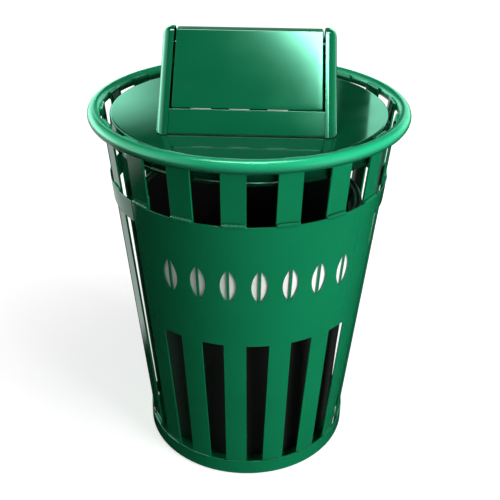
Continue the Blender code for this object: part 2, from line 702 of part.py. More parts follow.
def make_cheeks(parts, cutters, finish):
    for side, word in ((-1, "left"), (1, "right")):
        cheek = cheek_solid(f"hood_cheek_{word}", 0.0, HOOD_BASE, parts, finish)
        inside = cheek_solid(f"cheek_cutter_{word}", CHEEK_SHEET, HOOD_BASE - CUT_PAST, cutters)
        middle = side * (HOOD_HALF_WIDTH - CHEEK_WIDTH / 2)
        cheek.matrix_world = facing_side(side, middle, 0.0, 0.0)
        inside.matrix_world = facing_side(side, middle - side * CHEEK_SHEET, 0.0, 0.0)
        cut(cheek, inside)
        for front, where in ((-1, "front"), (1, "rear")):
            radius = STOP_STEM_RADIUS + TOUCH
            hole = cylinder(f"stop_hole_{where}_{word}", radius, 2 * CUT_PAST, cutters)
            point_sideways(hole, side * HOOD_HALF_WIDTH, front * stop_offset(), STOP_HEIGHT)
            cut(cheek, hole)
        smooth(cheek)


def make_lower_panels(parts, finish):
    """The fixed panels below the flap: a return at the top, a foot flange on the lid."""
    top = DOOR_LENGTH + FLAP_EDGE_GAP
    half = CHEEK_INNER - TOUCH
    for side, word in ((-1, "front"), (1, "rear")):
        foot_y = -tent_outline(0.0, HOOD_BASE)[0][0]
        sheet = [
            slope_point(top, PANEL_RETURN, side),
            slope_point(top, 0.0, side),
            (side * foot_y, HOOD_BASE),
            (side * (foot_y - PANEL_FLANGE), HOOD_BASE),
        ]
        work = bmesh.new()
        row = [work.verts.new((-half, y, z)) for y, z in sheet]
        edges = [work.edges.new(pair) for pair in zip(row, row[1:])]
        swept = bmesh.ops.extrude_edge_only(work, edges=edges)
        moved = [item for item in swept["geom"] if isinstance(item, bmesh.types.BMVert)]
        bmesh.ops.translate(work, vec=(2 * half, 0.0, 0.0), verts=moved)
        panel = object_from_bmesh(f"hood_{word}_panel", work, parts, finish)
        thicken(panel, PANEL_SHEET, -side)


def from_pivot(outline):
    """The points of a side view, counted from the pivot."""
    return [(y, z - PIVOT_HEIGHT) for y, z in outline]


def chevron(shallow, deep, trim):
    """Side view of the flap between two depths under its faces, its ends shortened by trim."""
    end = DOOR_LENGTH - trim
    return from_pivot([
        slope_point(end, shallow, -1),
        ridge_point(shallow, -1),
        ridge_point(shallow, 1),
        slope_point(end, shallow, 1),
        slope_point(end, deep, 1),
        ridge_point(deep, 1),
        ridge_point(deep, -1),
        slope_point(end, deep, -1),
    ])


def make_flap(parts, cutters, finish):
    flap = plate("swing_flap", chevron(0.0, FLAP_FLANGE, 0.0), 2 * FLAP_HALF_WIDTH, parts, finish)
    point_sideways(flap, 0.0, 0.0, PIVOT_HEIGHT)
    pocket = chevron(FLAP_SHEET, FLAP_FLANGE + CUT_PAST, FLAP_SHEET)
    inside = plate("flap_cutter", pocket, 2 * (FLAP_HALF_WIDTH - FLAP_SHEET), cutters)
    point_sideways(inside, 0.0, 0.0, PIVOT_HEIGHT)
    cut(flap, inside)
    wall_inner = FLAP_HALF_WIDTH - FLAP_SHEET - TOUCH
    shallow = FLAP_SHEET + TOUCH
    low = PIVOT_HEIGHT - EAR_ROUND_PIVOT
    outline = from_pivot([
        slope_point(EAR_RUN, shallow, -1),
        ridge_point(shallow, -1),
        ridge_point(shallow, 1),
        slope_point(EAR_RUN, shallow, 1),
        (EAR_ROUND_PIVOT, low),
        (-EAR_ROUND_PIVOT, low),
    ])
    bore = cylinder("rod_hole_cutter", ROD_RADIUS + RUNNING_FIT, 3 * FLAP_HALF_WIDTH, cutters)
    point_sideways(bore, 0.0, 0.0, PIVOT_HEIGHT)
    for side, word in ((-1, "left"), (1, "right")):
        ear = plate(f"flap_ear_{word}", outline, EAR_THICKNESS, parts, finish)
        point_sideways(ear, side * (wall_inner - EAR_THICKNESS / 2), 0.0, PIVOT_HEIGHT)
        cut(ear, bore)
    half = wall_inner - EAR_THICKNESS - TOUCH
    inner = ROD_RADIUS + RUNNING_FIT
    profile = [(inner, half), (SLEEVE_RADIUS, half), (SLEEVE_RADIUS, -half), (inner, -half)]
    sleeve = turned("flap_sleeve", profile, SMALL_STEPS, parts, finish)
    point_sideways(sleeve, 0.0, 0.0, PIVOT_HEIGHT)


def make_pivot(parts, green, zinc, nylon):
    """Rod that carries the flap, in bushings in two sockets welded inside the cheeks."""
    floor = CHEEK_WALL_INNER - TOUCH
    seat = floor - SOCKET_FLOOR
    mouth = seat - SOCKET_DEPTH
    socket_inner = BUSHING_RADIUS + TOUCH
    socket_outer = socket_inner + SOCKET_WALL
    flange_outer = mouth - TOUCH
    flange_inner = flange_outer - BUSHING_FLANGE
    bore = ROD_RADIUS + TOUCH
    spacer_inner = FLAP_HALF_WIDTH - FLAP_SHEET - TOUCH + RUNNING_FIT
    socket_profile = [
        (0.0, floor),
        (socket_outer, floor),
        (socket_outer, mouth),
        (socket_inner, mouth),
        (socket_inner, seat),
        (0.0, seat),
    ]
    bushing_profile = [
        (bore, seat - TOUCH),
        (BUSHING_RADIUS, seat - TOUCH),
        (BUSHING_RADIUS, flange_outer),
        (BUSHING_FLANGE_RADIUS, flange_outer),
        (BUSHING_FLANGE_RADIUS, flange_inner),
        (bore, flange_inner),
    ]
    spacer_profile = [
        (bore, flange_inner - TOUCH),
        (SPACER_RADIUS, flange_inner - TOUCH),
        (SPACER_RADIUS, spacer_inner),
        (bore, spacer_inner),
    ]
    rod = cylinder("pivot_rod", ROD_RADIUS, 2 * (seat - TOUCH), parts, zinc)
    point_sideways(rod, 0.0, 0.0, PIVOT_HEIGHT)
    for side, word in ((-1, "left"), (1, "right")):
        for name, profile, finish, closed in (
            ("pivot_socket", socket_profile, green, False),
            ("bushing", bushing_profile, nylon, True),
            ("spacer", spacer_profile, zinc, True),
        ):
            piece = turned(f"{name}_{word}", profile, SMALL_STEPS, parts, finish, closed)
            piece.matrix_world = facing_side(side, 0.0, 0.0, PIVOT_HEIGHT)


def stop_offset():
    """Distance of a stop from the middle plane, where the flap's side meets it at full swing."""
    lean = HOOD_SLOPE + FLAP_SWING
    pivot_depth = HOOD_RIDGE_HALF_DEPTH * math.sin(HOOD_SLOPE) + PIVOT_BELOW_RIDGE * math.cos(HOOD_SLOPE)
    edge = pivot_depth - FLAP_FLANGE
    return (edge + STOP_BELOW_PIVOT * math.cos(lean) - STOP_RADIUS - STOP_GAP) / math.sin(lean)


def make_stops(parts, rubber):
    """Rubber push-in stops inside the cheeks: body, stem through the wall, head outside."""
    outer = CHEEK_WALL_INNER - TOUCH
    inner = FLAP_HALF_WIDTH - STOP_REACH
    head_start = HOOD_HALF_WIDTH + TOUCH
    head_end = head_start + STOP_HEAD_HEIGHT
    profile = [
        (0.0, head_end),
        (STOP_HEAD_RADIUS - STOP_HEAD_CHAMFER, head_end),
        (STOP_HEAD_RADIUS, head_end - STOP_HEAD_CHAMFER),
        (STOP_HEAD_RADIUS, head_start),
        (STOP_STEM_RADIUS, head_start),
        (STOP_STEM_RADIUS, outer),
        (STOP_RADIUS, outer),
        (STOP_RADIUS, inner + STOP_CHAMFER),
        (STOP_RADIUS - STOP_CHAMFER, inner),
        (0.0, inner),
    ]
    for side, word in ((-1, "left"), (1, "right")):
        for front, where in ((-1, "front"), (1, "rear")):
            stop = turned(f"flap_stop_{where}_{word}", profile, SMALL_STEPS, parts, rubber, False)
            stop.matrix_world = facing_side(side, 0.0, front * stop_offset(), STOP_HEIGHT)


def main():
    clear_scene()
    parts = new_collection("compost_bin")
    cutters = new_collection("cutters")
    green = new_material("green_powder_coat", GREEN, 0.30)
    rim_green = new_material("bright_green_powder_coat", BRIGHT_GREEN, 0.22)
    black = new_material("black_polyethylene", BLACK, 0.55)
    white = new_material("white_acrylic", WHITE, 0.40)
    zinc = new_material("zinc_plated_steel", ZINC, 0.35, 1.0)
    rubber = new_material("black_rubber", RUBBER, 0.75)
    nylon = new_material("natural_nylon", NYLON, 0.45)

    make_ring(parts, rim_green)
    make_slats(parts, green)
    make_bands(parts, green)
    make_front_sheet(parts, cutters, green)
    make_sign_backing(parts, white)
    make_base_plate(parts, cutters, green)
    make_feet(parts, rubber, zinc)
    make_lid_lugs(parts, green)
    make_liner(parts, cutters, black)
    make_lid(parts, cutters, green)
    make_cheeks(parts, cutters, green)
    make_lower_panels(parts, green)
    make_flap(parts, cutters, green)
    make_pivot(parts, green, zinc, nylon)
    make_stops(parts, rubber)


main()
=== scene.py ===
"""Looks of a slatted steel compost bin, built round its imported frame.

Metres, +Z up. The hood's front faces -Y, and the body under the lift-off lid is turned from it by
BODY_TURN. An azimuth is counted from -Y, positive towards +X. Each piece is a surface worked out
with numpy and stands where its node of the frame stands.
"""

import math

import bmesh
import bpy
import numpy as np
from mathutils import Matrix, Vector


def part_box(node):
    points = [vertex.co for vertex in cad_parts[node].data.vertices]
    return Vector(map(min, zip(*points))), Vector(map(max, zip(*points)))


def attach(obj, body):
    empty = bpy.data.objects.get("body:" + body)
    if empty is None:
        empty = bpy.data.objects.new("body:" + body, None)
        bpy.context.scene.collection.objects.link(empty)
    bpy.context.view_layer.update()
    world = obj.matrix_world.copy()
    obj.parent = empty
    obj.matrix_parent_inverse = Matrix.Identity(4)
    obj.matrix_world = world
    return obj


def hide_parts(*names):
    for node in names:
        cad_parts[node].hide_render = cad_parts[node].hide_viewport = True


bl_info = {
    "name": "Slatted compost bin",
    "version": (1, 0, 0),
    "blender": (4, 5, 0),
    "location": "3D View > Sidebar > Compost bin",
    "description": "Builds the finished surfaces of a slatted compost bin with a swing-top lid",
    "category": "Object",
}

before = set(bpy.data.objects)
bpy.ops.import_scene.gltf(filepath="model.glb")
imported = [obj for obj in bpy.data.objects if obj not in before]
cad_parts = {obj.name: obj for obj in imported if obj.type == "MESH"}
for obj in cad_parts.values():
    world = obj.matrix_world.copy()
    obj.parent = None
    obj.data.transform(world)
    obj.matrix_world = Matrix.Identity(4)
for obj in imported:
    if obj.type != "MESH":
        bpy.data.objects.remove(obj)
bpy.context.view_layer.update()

# Sizes that the frame doesn't give by itself
MERGE = 0.000002            # points nearer than this are one
TOUCH = 0.0003              # gap between pieces that rest on or are welded to each other
BODY_TURN = math.radians(6.7)
SLAT_COUNT = 18
SHORT_COUNT = 6
SHEET_WALL = 0.003
UPPER_BAND_HEIGHT = 0.050
RIM_WOBBLE = 0.00015
RIM_PAINTED_SHADE = (0.010, -0.007, 0.80)       # painted shade on the rim's lower half, where less light falls: heights between which the paint darkens, and by how much
SEAM_SINK = 0.0008
FOOT_BAND_WALL = 0.004
BAND_END_GAP = 0.002        # between the upper hoop's ends and the front sheet
FINGER_CELLS = 9            # columns of the sheet's grid across a finger, and across the slots
SLOT_CELLS = (8, 9, 8, 9, 8)
SLOT_TOP = 0.417
LEAF_COUNT = 7
LEAF_SPREAD = math.radians(75.0)
LEAF_HEIGHT = 0.080
LEAF_HALF_WIDTH = 0.017
LEAF_RIB = 0.006
LEAF_MIDDLE = 0.578
LEAF_BLOCK = 0.052          # half the height of the patch of sheet round a leaf
LEAF_CELLS = 6              # columns on each side of a leaf's rib
LEAF_ROWS = 14
LEAF_KNEE = 0.58            # share of a leaf's arc that runs up its side, between the tips
BACKING_WALL = 0.0015
BACKING_MARGIN = 0.014
LINER_WALL = 0.0035
LINER_FOOT_CORNER = 0.012
LINER_LIP_DROP = 0.018
LINER_LIP_WIDTH = 0.010
LINER_TAPER = 0.0295        # how much narrower the base is than the rim, as a radius
GRIP_HALF_LENGTH = 0.050
GRIP_RADIUS = 0.0137
GRIP_BELOW_LIP = 0.048
GRIP_BLOCK = 0.026          # half the height of the patch of wall round a grip hole
LID_WALL = 0.0015
LID_CORNER = 0.004
LID_HEM_HEIGHT = 0.008
LID_HEM_PROUD = 0.0025
# painted shadow on the lid's skirt under the rim: heights below the lid's top between which the paint darkens, and by
# how much
LID_PAINTED_SHADOW = (-0.001, -0.006, 0.88)
THROAT = (0.1618, 0.164, 0.005)         # half sizes and corner radius
HOOD_DEPTH = 0.185
RIDGE_HALF_DEPTH = 0.0118
CHEEK_PROUD = 0.003
CHEEK_WALL = 0.002
CHEEK_NOSE = 0.018
CHEEK_TOP_CORNER = 0.022
DOOR_SHARE = 0.744          # share of the slope that the swing flap takes
FLAP_GAP = 0.003
FLAP_WALL = 0.0015
FLAP_FLANGE = 0.018
PANEL_RETURN = 0.012
PANEL_FLANGE = 0.014
PANEL_WALL = 0.0015
LUG_WALL = 0.004
LUG_REACH = 0.020
LUG_LEG = 0.028
LUG_BEND = 0.006
# Painted light: pale pads that stand in for the bright dashes seen through the gap under the flap
DASH_SIZE = (0.008, 0.0012, 0.042)
DASH_PLACES = (-0.0945, -0.0158, 0.0628)
DASH_LIFT, DASH_DEPTH = 0.0007, 0.0044
FOOT_BORE, FOOT_TOP, FOOT_RADIUS, FOOT_EDGE = 0.0035, 0.017, 0.022, 0.003
FOOT_RECESS, FOOT_RECESS_DEPTH = 0.007, 0.009
SCREW_RADIUS, SCREW_HEAD, SCREW_HEAD_HEIGHT = 0.003, 0.0065, 0.004
HEXAGON_RADIUS, HEXAGON_DEPTH, HEXAGON_SLACK = 0.003, 0.0026, 0.0003
ROD_RADIUS = 0.004
SLEEVE_BORE, SLEEVE_RADIUS = 0.0045, 0.008
SOCKET_BORE, SOCKET_RADIUS, SOCKET_END = 0.0073, 0.0103, 0.002
BUSHING_BORE, BUSHING_RADIUS = 0.0043, 0.007        # the spacers' too
COLLAR_RADIUS, COLLAR_WALL = 0.010, 0.002
STOP_PAD, STOP_STEM, STOP_HEAD = 0.010, 0.0035, 0.006
SIDES = ((-1, "left"), (1, "right"))
ENDS = ((-1, "front"), (1, "rear"))
UP = np.array([0.0, 0.0, 1.0])

# Places and sizes read from the frame
RIM_LOW, RIM_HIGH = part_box("top_ring")
RIM_TUBE = (RIM_HIGH.z - RIM_LOW.z) / 2
RIM_MIDDLE = RIM_HIGH.z - RIM_TUBE
RIM_RADIUS = RIM_HIGH.x - RIM_TUBE
SHEET_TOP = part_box("front_sheet")[1].z
BAND_LOW, BAND_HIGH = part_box("bottom_band")
UPPER_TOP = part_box("upper_band")[1].z
UPPER_BOTTOM = UPPER_TOP - UPPER_BAND_HEIGHT
LID_LOW, LID_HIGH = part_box("lid_skirt")
LID_HEM_RADIUS = LID_HIGH.x
LID_RADIUS = LID_HEM_RADIUS - LID_HEM_PROUD
LINER_LOW, LINER_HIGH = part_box("liner")
CHEEK_LOW, CHEEK_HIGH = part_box("hood_cheek_right")
HOOD_HALF_WIDTH = CHEEK_HIGH.x
CHEEK_INNER = CHEEK_LOW.x
HOOD_BASE = CHEEK_LOW.z
FLAP_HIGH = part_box("swing_flap")[1]
RIDGE_TOP = FLAP_HIGH.z
FLAP_HALF_WIDTH = FLAP_HIGH.x
HOOD_SLOPE = math.atan2(RIDGE_TOP - LID_HIGH.z, HOOD_DEPTH - RIDGE_HALF_DEPTH)
SLOPE_LENGTH = math.hypot(RIDGE_TOP - LID_HIGH.z, HOOD_DEPTH - RIDGE_HALF_DEPTH)
DOOR_LENGTH = SLOPE_LENGTH * DOOR_SHARE
PIVOT_HEIGHT = (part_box("pivot_rod")[0].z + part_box("pivot_rod")[1].z) / 2

# Camera, found by fitting the object's known circles and corners to the photograph
CAMERA_PLACE = (0.0582, -1.6678, 1.4396)
CAMERA_DOWN = 0.514
CAMERA_YAW = math.radians(2.0) - 0.003
CAMERA_ROLL = 0.011
CAMERA_LENS = 56.16
CAMERA_SENSOR = 36.0

# Lamps: place, what they look at, and side
KEY_LAMP = ((2.63, -1.84, 1.32), (0.0, 0.0, 0.55), 2.0)
TOP_LAMP = ((-0.5, -0.5, 2.7), (0.0, 0.0, 0.86), 1.4)
FLOOR_HALF = 9.0

# The room that the paint mirrors, over a direction (x, y, z) of length 1. Each part is a product of
# smooth steps: what they run over, where they are 0 and where they are 1. An azimuth, in radians, is
# counted from +Y here; tilt is the height over a plane that rises towards -Y by GROUND_TILT.
ROOM = {
    "box": (("y", -0.14, -0.21), ("x", 0.17, 0.08), ("z", 0.6, 0.8)),
    "left": (("z", -0.25, 0.0),),
    "right": (("x", 0.5, 0.8), ("z", 0.78, 0.15), ("z", -0.3, 0.0)),
    "behind": (("azimuth", math.radians(-6.0), math.radians(-14.0)), ("z", 0.362, 0.312)),
    "panel": (("azimuth", math.radians(7.0), math.radians(7.2)), ("z", 0.42, 0.36), ("azimuth", 1.2, 0.5)),
    "rear": (("y", 0.0, 0.3), ("z", -0.1, 0.0)),
    "ground": (("z", 0.0, -0.2), ("tilt", -0.46, -0.42), ("y", 0.10, 0.20), ("x", 0.1, -0.1)),
    "above": (("z", 0.94, 0.98), ("y", -0.12, -0.05), ("y", 0.25, 0.1)),
    "ceiling": (("z", 0.75, 0.9), ("y", 0.1, 0.3)),
    "gap": (("azimuth", 0.088, 0.075), ("azimuth", -0.24, -0.1), ("z", 0.36, 0.31), ("z", 0.1, 0.2)),
}
BOX_SLANT = 0.9             # how the overhead box's edge runs: degrees across for each along
BOX_EDGE = -9.6
BOX_GAIN = 2.25             # how much brighter the box grows with each degree towards its edge
LEFT_WALL = (-0.45, -0.95)
PANEL_LEVEL = 0.75          # of the rear wall's
GROUND_TILT = 0.257
CEILING_LEVEL, GAP_LEVEL = 0.15, 0.3


def circle(count):
    """Even turns round a full circle, the last of them short of the first."""
    return np.linspace(0, 2 * math.pi, count, endpoint=False)


def sideways(azimuth):
    """Unit direction along growing azimuth."""
    return np.array([math.cos(azimuth), math.sin(azimuth), 0.0])


def stacked(*parts):
    """Points from their coordinates, arrays of shapes that fit each other."""
    return np.stack(np.broadcast_arrays(*parts), -1)


def node_points(node):
    """The different corners of a frame node, as an array."""
    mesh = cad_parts[node].data
    flat = np.empty(len(mesh.vertices) * 3, np.float32)
    mesh.vertices.foreach_get("co", flat)
    return np.unique(np.round(flat.reshape(-1, 3).astype(float), 6), axis=0)


def bar_frame(node):
    """Middle, axes (across, outwards, along) and size of a straight flat bar, from its corners."""
    points = node_points(node)
    middle = points.mean(0)
    azimuth = math.atan2(middle[0], -middle[1])
    across = sideways(azimuth)
    order = points[:, 2].argsort()
    along = points[order[-4:]].mean(0) - points[order[:4]].mean(0)
    along /= np.linalg.norm(along)
    axes = np.array([across, np.cross(across, along), along])
    return middle, axes, np.ptp((points - middle) @ axes.T, axis=0)


BAR_MIDDLE, BAR_AXES, BAR_SIZE = bar_frame("slat_01")
BAR_LEAN = math.acos(BAR_AXES[2, 2])
BAR_WIDTH = BAR_SIZE[0]
BAR_FACE = BAR_MIDDLE + BAR_AXES[1] * BAR_SIZE[1] / 2
BAR_RADIUS_AT_FLOOR = math.hypot(BAR_FACE[0], BAR_FACE[1]) - BAR_FACE[2] * math.tan(BAR_LEAN)
BAR_PITCH = 2 * math.pi / SLAT_COUNT
SHEET_HALF_ANGLE = (SHORT_COUNT - 1) / 2 * BAR_PITCH + BAR_WIDTH / 2 / (
    BAR_RADIUS_AT_FLOOR + (SHEET_TOP + BAND_HIGH.z) / 2 * math.tan(BAR_LEAN)
)


def bar_radius(height):
    """Distance from the axis to the middle of a bar's outer face: a straight line in height."""
    return BAR_RADIUS_AT_FLOOR + height * math.tan(BAR_LEAN)


def hoop_radius(height):
    """Inner radius of a hoop that touches the corners of the flat bars."""
    return np.hypot(bar_radius(height), BAR_WIDTH / 2) + TOUCH


def bar_azimuth(index):
    """Azimuth of a bar: whole pitches and a half from the middle of the front sheet."""
    return BODY_TURN + (index + 0.5) * BAR_PITCH


def short_indexes():
    """The bars that end behind the front sheet's top."""
    return range(-SHORT_COUNT // 2, SHORT_COUNT // 2)


def full_indexes():
    """The bars of full height, on round the axis from the short ones."""
    return range(SHORT_COUNT // 2, SLAT_COUNT - SHORT_COUNT // 2)


def round_axis(radius, azimuth, height):
    """Points at a radius, azimuth and height."""
    return stacked(radius * np.sin(azimuth), -radius * np.cos(azimuth), height)


def outwards(azimuth):
    """Unit direction away from the axis."""
    return round_axis(1.0, azimuth, 0.0)


def grid_faces(rows, columns, wrap_rows=False, wrap_columns=False):
    """Quads of a grid of points, in order; a wrapped direction also joins last to first."""
    index = np.arange(rows * columns).reshape(rows, columns)
    if wrap_rows:
        index = np.vstack([index, index[:1]])
    if wrap_columns:
        index = np.hstack([index, index[:, :1]])
    quads = np.stack([index[:-1, :-1], index[:-1, 1:], index[1:, 1:], index[1:, :-1]], -1)
    return quads.reshape(-1, 4)


def patch(points, wrap_rows=False, wrap_columns=False, caps=False, keep=None):
    """A grid of points as (points, list of face arrays); caps closes its first and last row."""
    rows, columns = points.shape[:2]
    quads = grid_faces(rows, columns, wrap_rows, wrap_columns)
    if keep is not None:
        quads = quads[keep.ravel()]
    faces = [quads]
    if caps:
        first = np.arange(columns)
        faces.append(np.stack([first[::-1], first + (rows - 1) * columns]))
    return points.reshape(-1, 3), faces


def placed(made, middle, axes=np.eye(3)):
    """A patch moved from its own axes (rows of axes) to a place."""
    points, faces = made
    return points @ np.asarray(axes) + np.asarray(middle), faces


def rounded_path(corners, radii, steps=4, closed=False):
    """A line through corners with each one replaced by an arc that is tangent to both sides."""
    corners = np.asarray(corners, float)
    radii = np.broadcast_to(np.asarray(radii, float), len(corners))
    back = np.roll(corners, 1, 0) - corners
    ahead = np.roll(corners, -1, 0) - corners
    back /= np.linalg.norm(back, axis=1)[:, None]
    ahead /= np.linalg.norm(ahead, axis=1)[:, None]
    half = np.arccos(np.clip((back * ahead).sum(1), -1, 1)) / 2
    reach = radii / np.tan(half)
    bisector = back + ahead
    bisector /= np.maximum(np.linalg.norm(bisector, axis=1), 1e-9)[:, None]
    middle = corners + bisector * (radii / np.sin(half))[:, None]
    first = corners + back * reach[:, None] - middle
    last = corners + ahead * reach[:, None] - middle
    turn = math.pi - 2 * half
    share = np.linspace(0, 1, steps + 1)[None, :, None]
    spread = np.maximum(turn, 1e-6)[:, None, None]
    spoke = np.sin((1 - share) * spread) * first[:, None] + np.sin(share * spread) * last[:, None]
    arcs = middle[:, None] + spoke / np.sin(spread)
    if closed:
        return arcs.reshape(-1, corners.shape[1])
    inner = arcs[1:-1].reshape(-1, corners.shape[1])
    return np.vstack([corners[:1], inner, corners[-1:]])


def rounded_bar(size, radius, path, steps=3, rows=2):
    """A rounded rectangle (across, outwards) carried along a path, its ends rounded like its edges.

    path takes distances along it and gives points and two arrays of unit axes.
    """
    across, thick, length = size
    turns = np.linspace(0, math.pi / 2, steps + 1)
    angles = (turns[None, :] + np.arange(4)[:, None] * math.pi / 2).ravel()
    spokes = stacked(np.cos(angles), np.sin(angles))
    signs = np.repeat([[1, 1], [-1, 1], [-1, -1], [1, -1]], steps + 1, 0)
    centres = signs * (np.array([across, thick]) / 2 - radius)
    inset = radius * (1 - np.sin(turns))
    shift = radius * (1 - np.cos(turns))
    between = np.linspace(radius, length - radius, rows + 2)[1:-1]
    at = np.concatenate([shift, between, length - shift[::-1]])
    insets = np.concatenate([inset, np.zeros(rows), inset[::-1]])
    section = centres[None] + (radius - insets)[:, None, None] * spokes[None]
    middle, side, out = path(at)
    points = middle[:, None] + section[..., :1] * side[:, None] + section[..., 1:] * out[:, None]
    return patch(points, wrap_columns=True, caps=True)


def turned(profile, columns, closed=True):
    """A line of (radius, height) points turned round Z; closed joins its last point to its first."""
    profile = np.asarray(profile, float)
    points = round_axis(profile[:, None, 0], circle(columns)[None], profile[:, None, 1])
    return patch(points, wrap_rows=closed, wrap_columns=True)


def bead(path, out, up, sizes, pitch=0.0035, closed=False):
    """A weld bead: an ellipse (out, up) carried along a path.

    It swells and thins once each pitch, drifts a little, and runs out to nothing at open ends.
    """
    step = np.linalg.norm(np.diff(path, axis=0), axis=1)
    along = np.concatenate([[0.0], np.cumsum(step)])
    share = along / along[-1]
    phase = 2 * math.pi * along / pitch
    swell = 1 + 0.10 * np.sin(phase) + 0.05 * np.sin(0.37 * phase + 1.0)
    if not closed:
        swell = swell * np.sqrt(np.clip(1 - np.abs(2 * share - 1) ** 8, 0, 1))
    turn = circle(12)
    ellipse = (sizes[0] * np.cos(turn))[None, :, None] * out[:, None]
    ellipse = ellipse + (sizes[1] * np.sin(turn))[None, :, None] * up[:, None]
    points = path[:, None] + swell[:, None, None] * ellipse
    if closed:
        points = points[:-1]
    return patch(points, wrap_rows=closed, wrap_columns=True)


def block_loop(columns, rows):
    """Points round a block of a grid: along the bottom, up, back along the top, down."""
    sides = [
        stacked(columns[:-1], rows[0]), stacked(columns[-1], rows[:-1]),
        stacked(columns[:0:-1], rows[-1]), stacked(columns[0], rows[:0:-1]),
    ]
    return np.concatenate(sides)


def hole_rings(boundary, outline, rings, place):
    """Rings of points that lead from a block's boundary to the outline of a hole in it."""
    share = np.linspace(0, 1, rings + 1)[:, None, None]
    flat = boundary[None] * (1 - share) + outline[None] * share
    return patch(place(flat[..., 0], flat[..., 1]), wrap_columns=True)


def new_mesh(name, patches):
    """One mesh from patches; points nearer than MERGE are joined and loose ones dropped."""
    starts = np.cumsum([0] + [len(points) for points, _ in patches])
    points = np.concatenate([points for points, _ in patches])
    faces = []
    for (_, groups), start in zip(patches, starts):
        for group in groups:
            faces += (group + start).tolist()
    mesh = bpy.data.meshes.new(name)
    mesh.from_pydata(points.tolist(), [], faces)
    work = bmesh.new()
    work.from_mesh(mesh)
    bmesh.ops.remove_doubles(work, verts=work.verts, dist=MERGE)
    bmesh.ops.delete(work, geom=[v for v in work.verts if not v.link_faces], context="VERTS")
    bmesh.ops.recalc_face_normals(work, faces=work.faces)
    work.to_mesh(mesh)
    work.free()
    return mesh


def new_piece(name, patches, body, slot, nodes=(), sharp=40.0):
    """A shown piece that rides on a body, takes its finish from a slot and stands for nodes."""
    mesh = new_mesh(name, patches)
    mesh.shade_smooth()
    mesh.set_sharp_from_angle(angle=math.radians(sharp))
    piece = bpy.data.objects.new(name, mesh)
    bpy.context.scene.collection.objects.link(piece)
    mesh.materials.append(finish(slot))
    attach(piece, body)
    if nodes:
        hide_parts(*nodes)
    return piece


def paint_shade_by_height(piece, level, shade):
    """Paints shade into a piece's colour: darker from none at one height over a level to most at another."""
    high, low, most = shade
    points = np.empty(len(piece.data.vertices) * 3)
    piece.data.vertices.foreach_get("co", points)
    share = np.clip((level + high - points[2::3]) / (high - low), 0.0, 1.0)
    piece.data.attributes.new("shade", "FLOAT", "POINT").data.foreach_set("value", most * share)


def face_along(piece, axis, side=1):
    """Flips a skin whose faces, weighed by area, look away from a side (1 or -1) of an axis (0 to 2)."""
    if side * sum(face.normal[axis] * face.area for face in piece.data.polygons) < 0:
        piece.data.flip_normals()


def face_outwards(piece):
    """Flips a skin whose faces look towards the upright axis."""
    if sum(face.normal.xy.dot(face.center.xy) for face in piece.data.polygons) < 0:
        piece.data.flip_normals()


def wall(piece, thickness, edge=0.0004):
    """Thickens an open skin behind its faces, breaks its edges and weighs normals by face size."""
    solid = piece.modifiers.new("Wall", "SOLIDIFY")
    solid.thickness = thickness
    solid.offset = -1.0
    solid.use_even_offset = True
    solid.use_quality_normals = True
    round_off = piece.modifiers.new("Edges", "BEVEL")
    round_off.width = edge
    round_off.segments = 2
    round_off.limit_method = "ANGLE"
    round_off.angle_limit = math.radians(50.0)
    round_off.harden_normals = True
    weigh(piece)


def weigh(piece):
    """Weighs a piece's normals by face size, so that large faces stay flat."""
    piece.modifiers.new("Normals", "WEIGHTED_NORMAL").keep_sharp = True


# Materials

def new_group(name, inputs, outputs):
    """A shader node group with named sockets, and its input and output nodes.

    A colour has four parts; among the outputs, only one that is called Colour holds one.
    """
    tree = bpy.data.node_groups.new(name, "ShaderNodeTree")
    for label, value in inputs.items():
        kind = "NodeSocketFloat" if isinstance(value, float) else "NodeSocketColor"
        tree.interface.new_socket(label, in_out="INPUT", socket_type=kind).default_value = value
    for label in outputs:
        kind = "NodeSocketColor" if label == "Colour" else "NodeSocketFloat"
        tree.interface.new_socket(label, in_out="OUTPUT", socket_type=kind)
    return tree, tree.nodes.new("NodeGroupInput"), tree.nodes.new("NodeGroupOutput")


def object_place(tree):
    """Object coordinates as a socket."""
    return tree.nodes.new("ShaderNodeTexCoord").outputs["Object"]


def noise(tree, scale, detail=2.0, coordinates=None):
    """A noise texture, on Object coordinates unless others are given; scale is a number or a socket."""
    made = tree.nodes.new("ShaderNodeTexNoise")
    made.inputs["Detail"].default_value = detail
    tree.links.new(coordinates or object_place(tree), made.inputs["Vector"])
    give(tree, scale, made.inputs["Scale"])
    return made.outputs["Fac"]


def give(tree, value, socket):
    """Sets a socket to a value, or links it where the value is a socket."""
    if isinstance(value, bpy.types.NodeSocket):
        tree.links.new(value, socket)
    else:
        socket.default_value = value


def sum_of(tree, operation, first, second=0.0, third=0.0):
    """One math node on numbers or sockets."""
    made = tree.nodes.new("ShaderNodeMath")
    made.operation = operation
    for value, socket in zip((first, second, third), made.inputs):
        give(tree, value, socket)
    return made.outputs[0]


def remap(tree, value, low, high, to_low=0.0, to_high=1.0):
    """A smooth step from one value to another while the input goes from low to high."""
    made = tree.nodes.new("ShaderNodeMapRange")
    made.interpolation_type = "SMOOTHSTEP"
    for item, socket in zip((value, low, high, to_low, to_high), made.inputs):
        give(tree, item, socket)
    return made.outputs["Result"]


def ramp_linear(tree, value, zero, one):
    """0 at one value and 1 at another, straight between them."""
    held = sum_of(tree, "MINIMUM", sum_of(tree, "MAXIMUM", value, min(zero, one)), max(zero, one))
    return sum_of(tree, "MULTIPLY_ADD", held, 1 / (one - zero), -zero / (one - zero))


def mixed(tree, share, first, second):
    """The first colour, or by so much of a share the second."""
    made = tree.nodes.new("ShaderNodeMix")
    made.data_type = "RGBA"
    give(tree, share, made.inputs[0])
    give(tree, first, made.inputs[6])
    give(tree, second, made.inputs[7])
    return made.outputs[2]


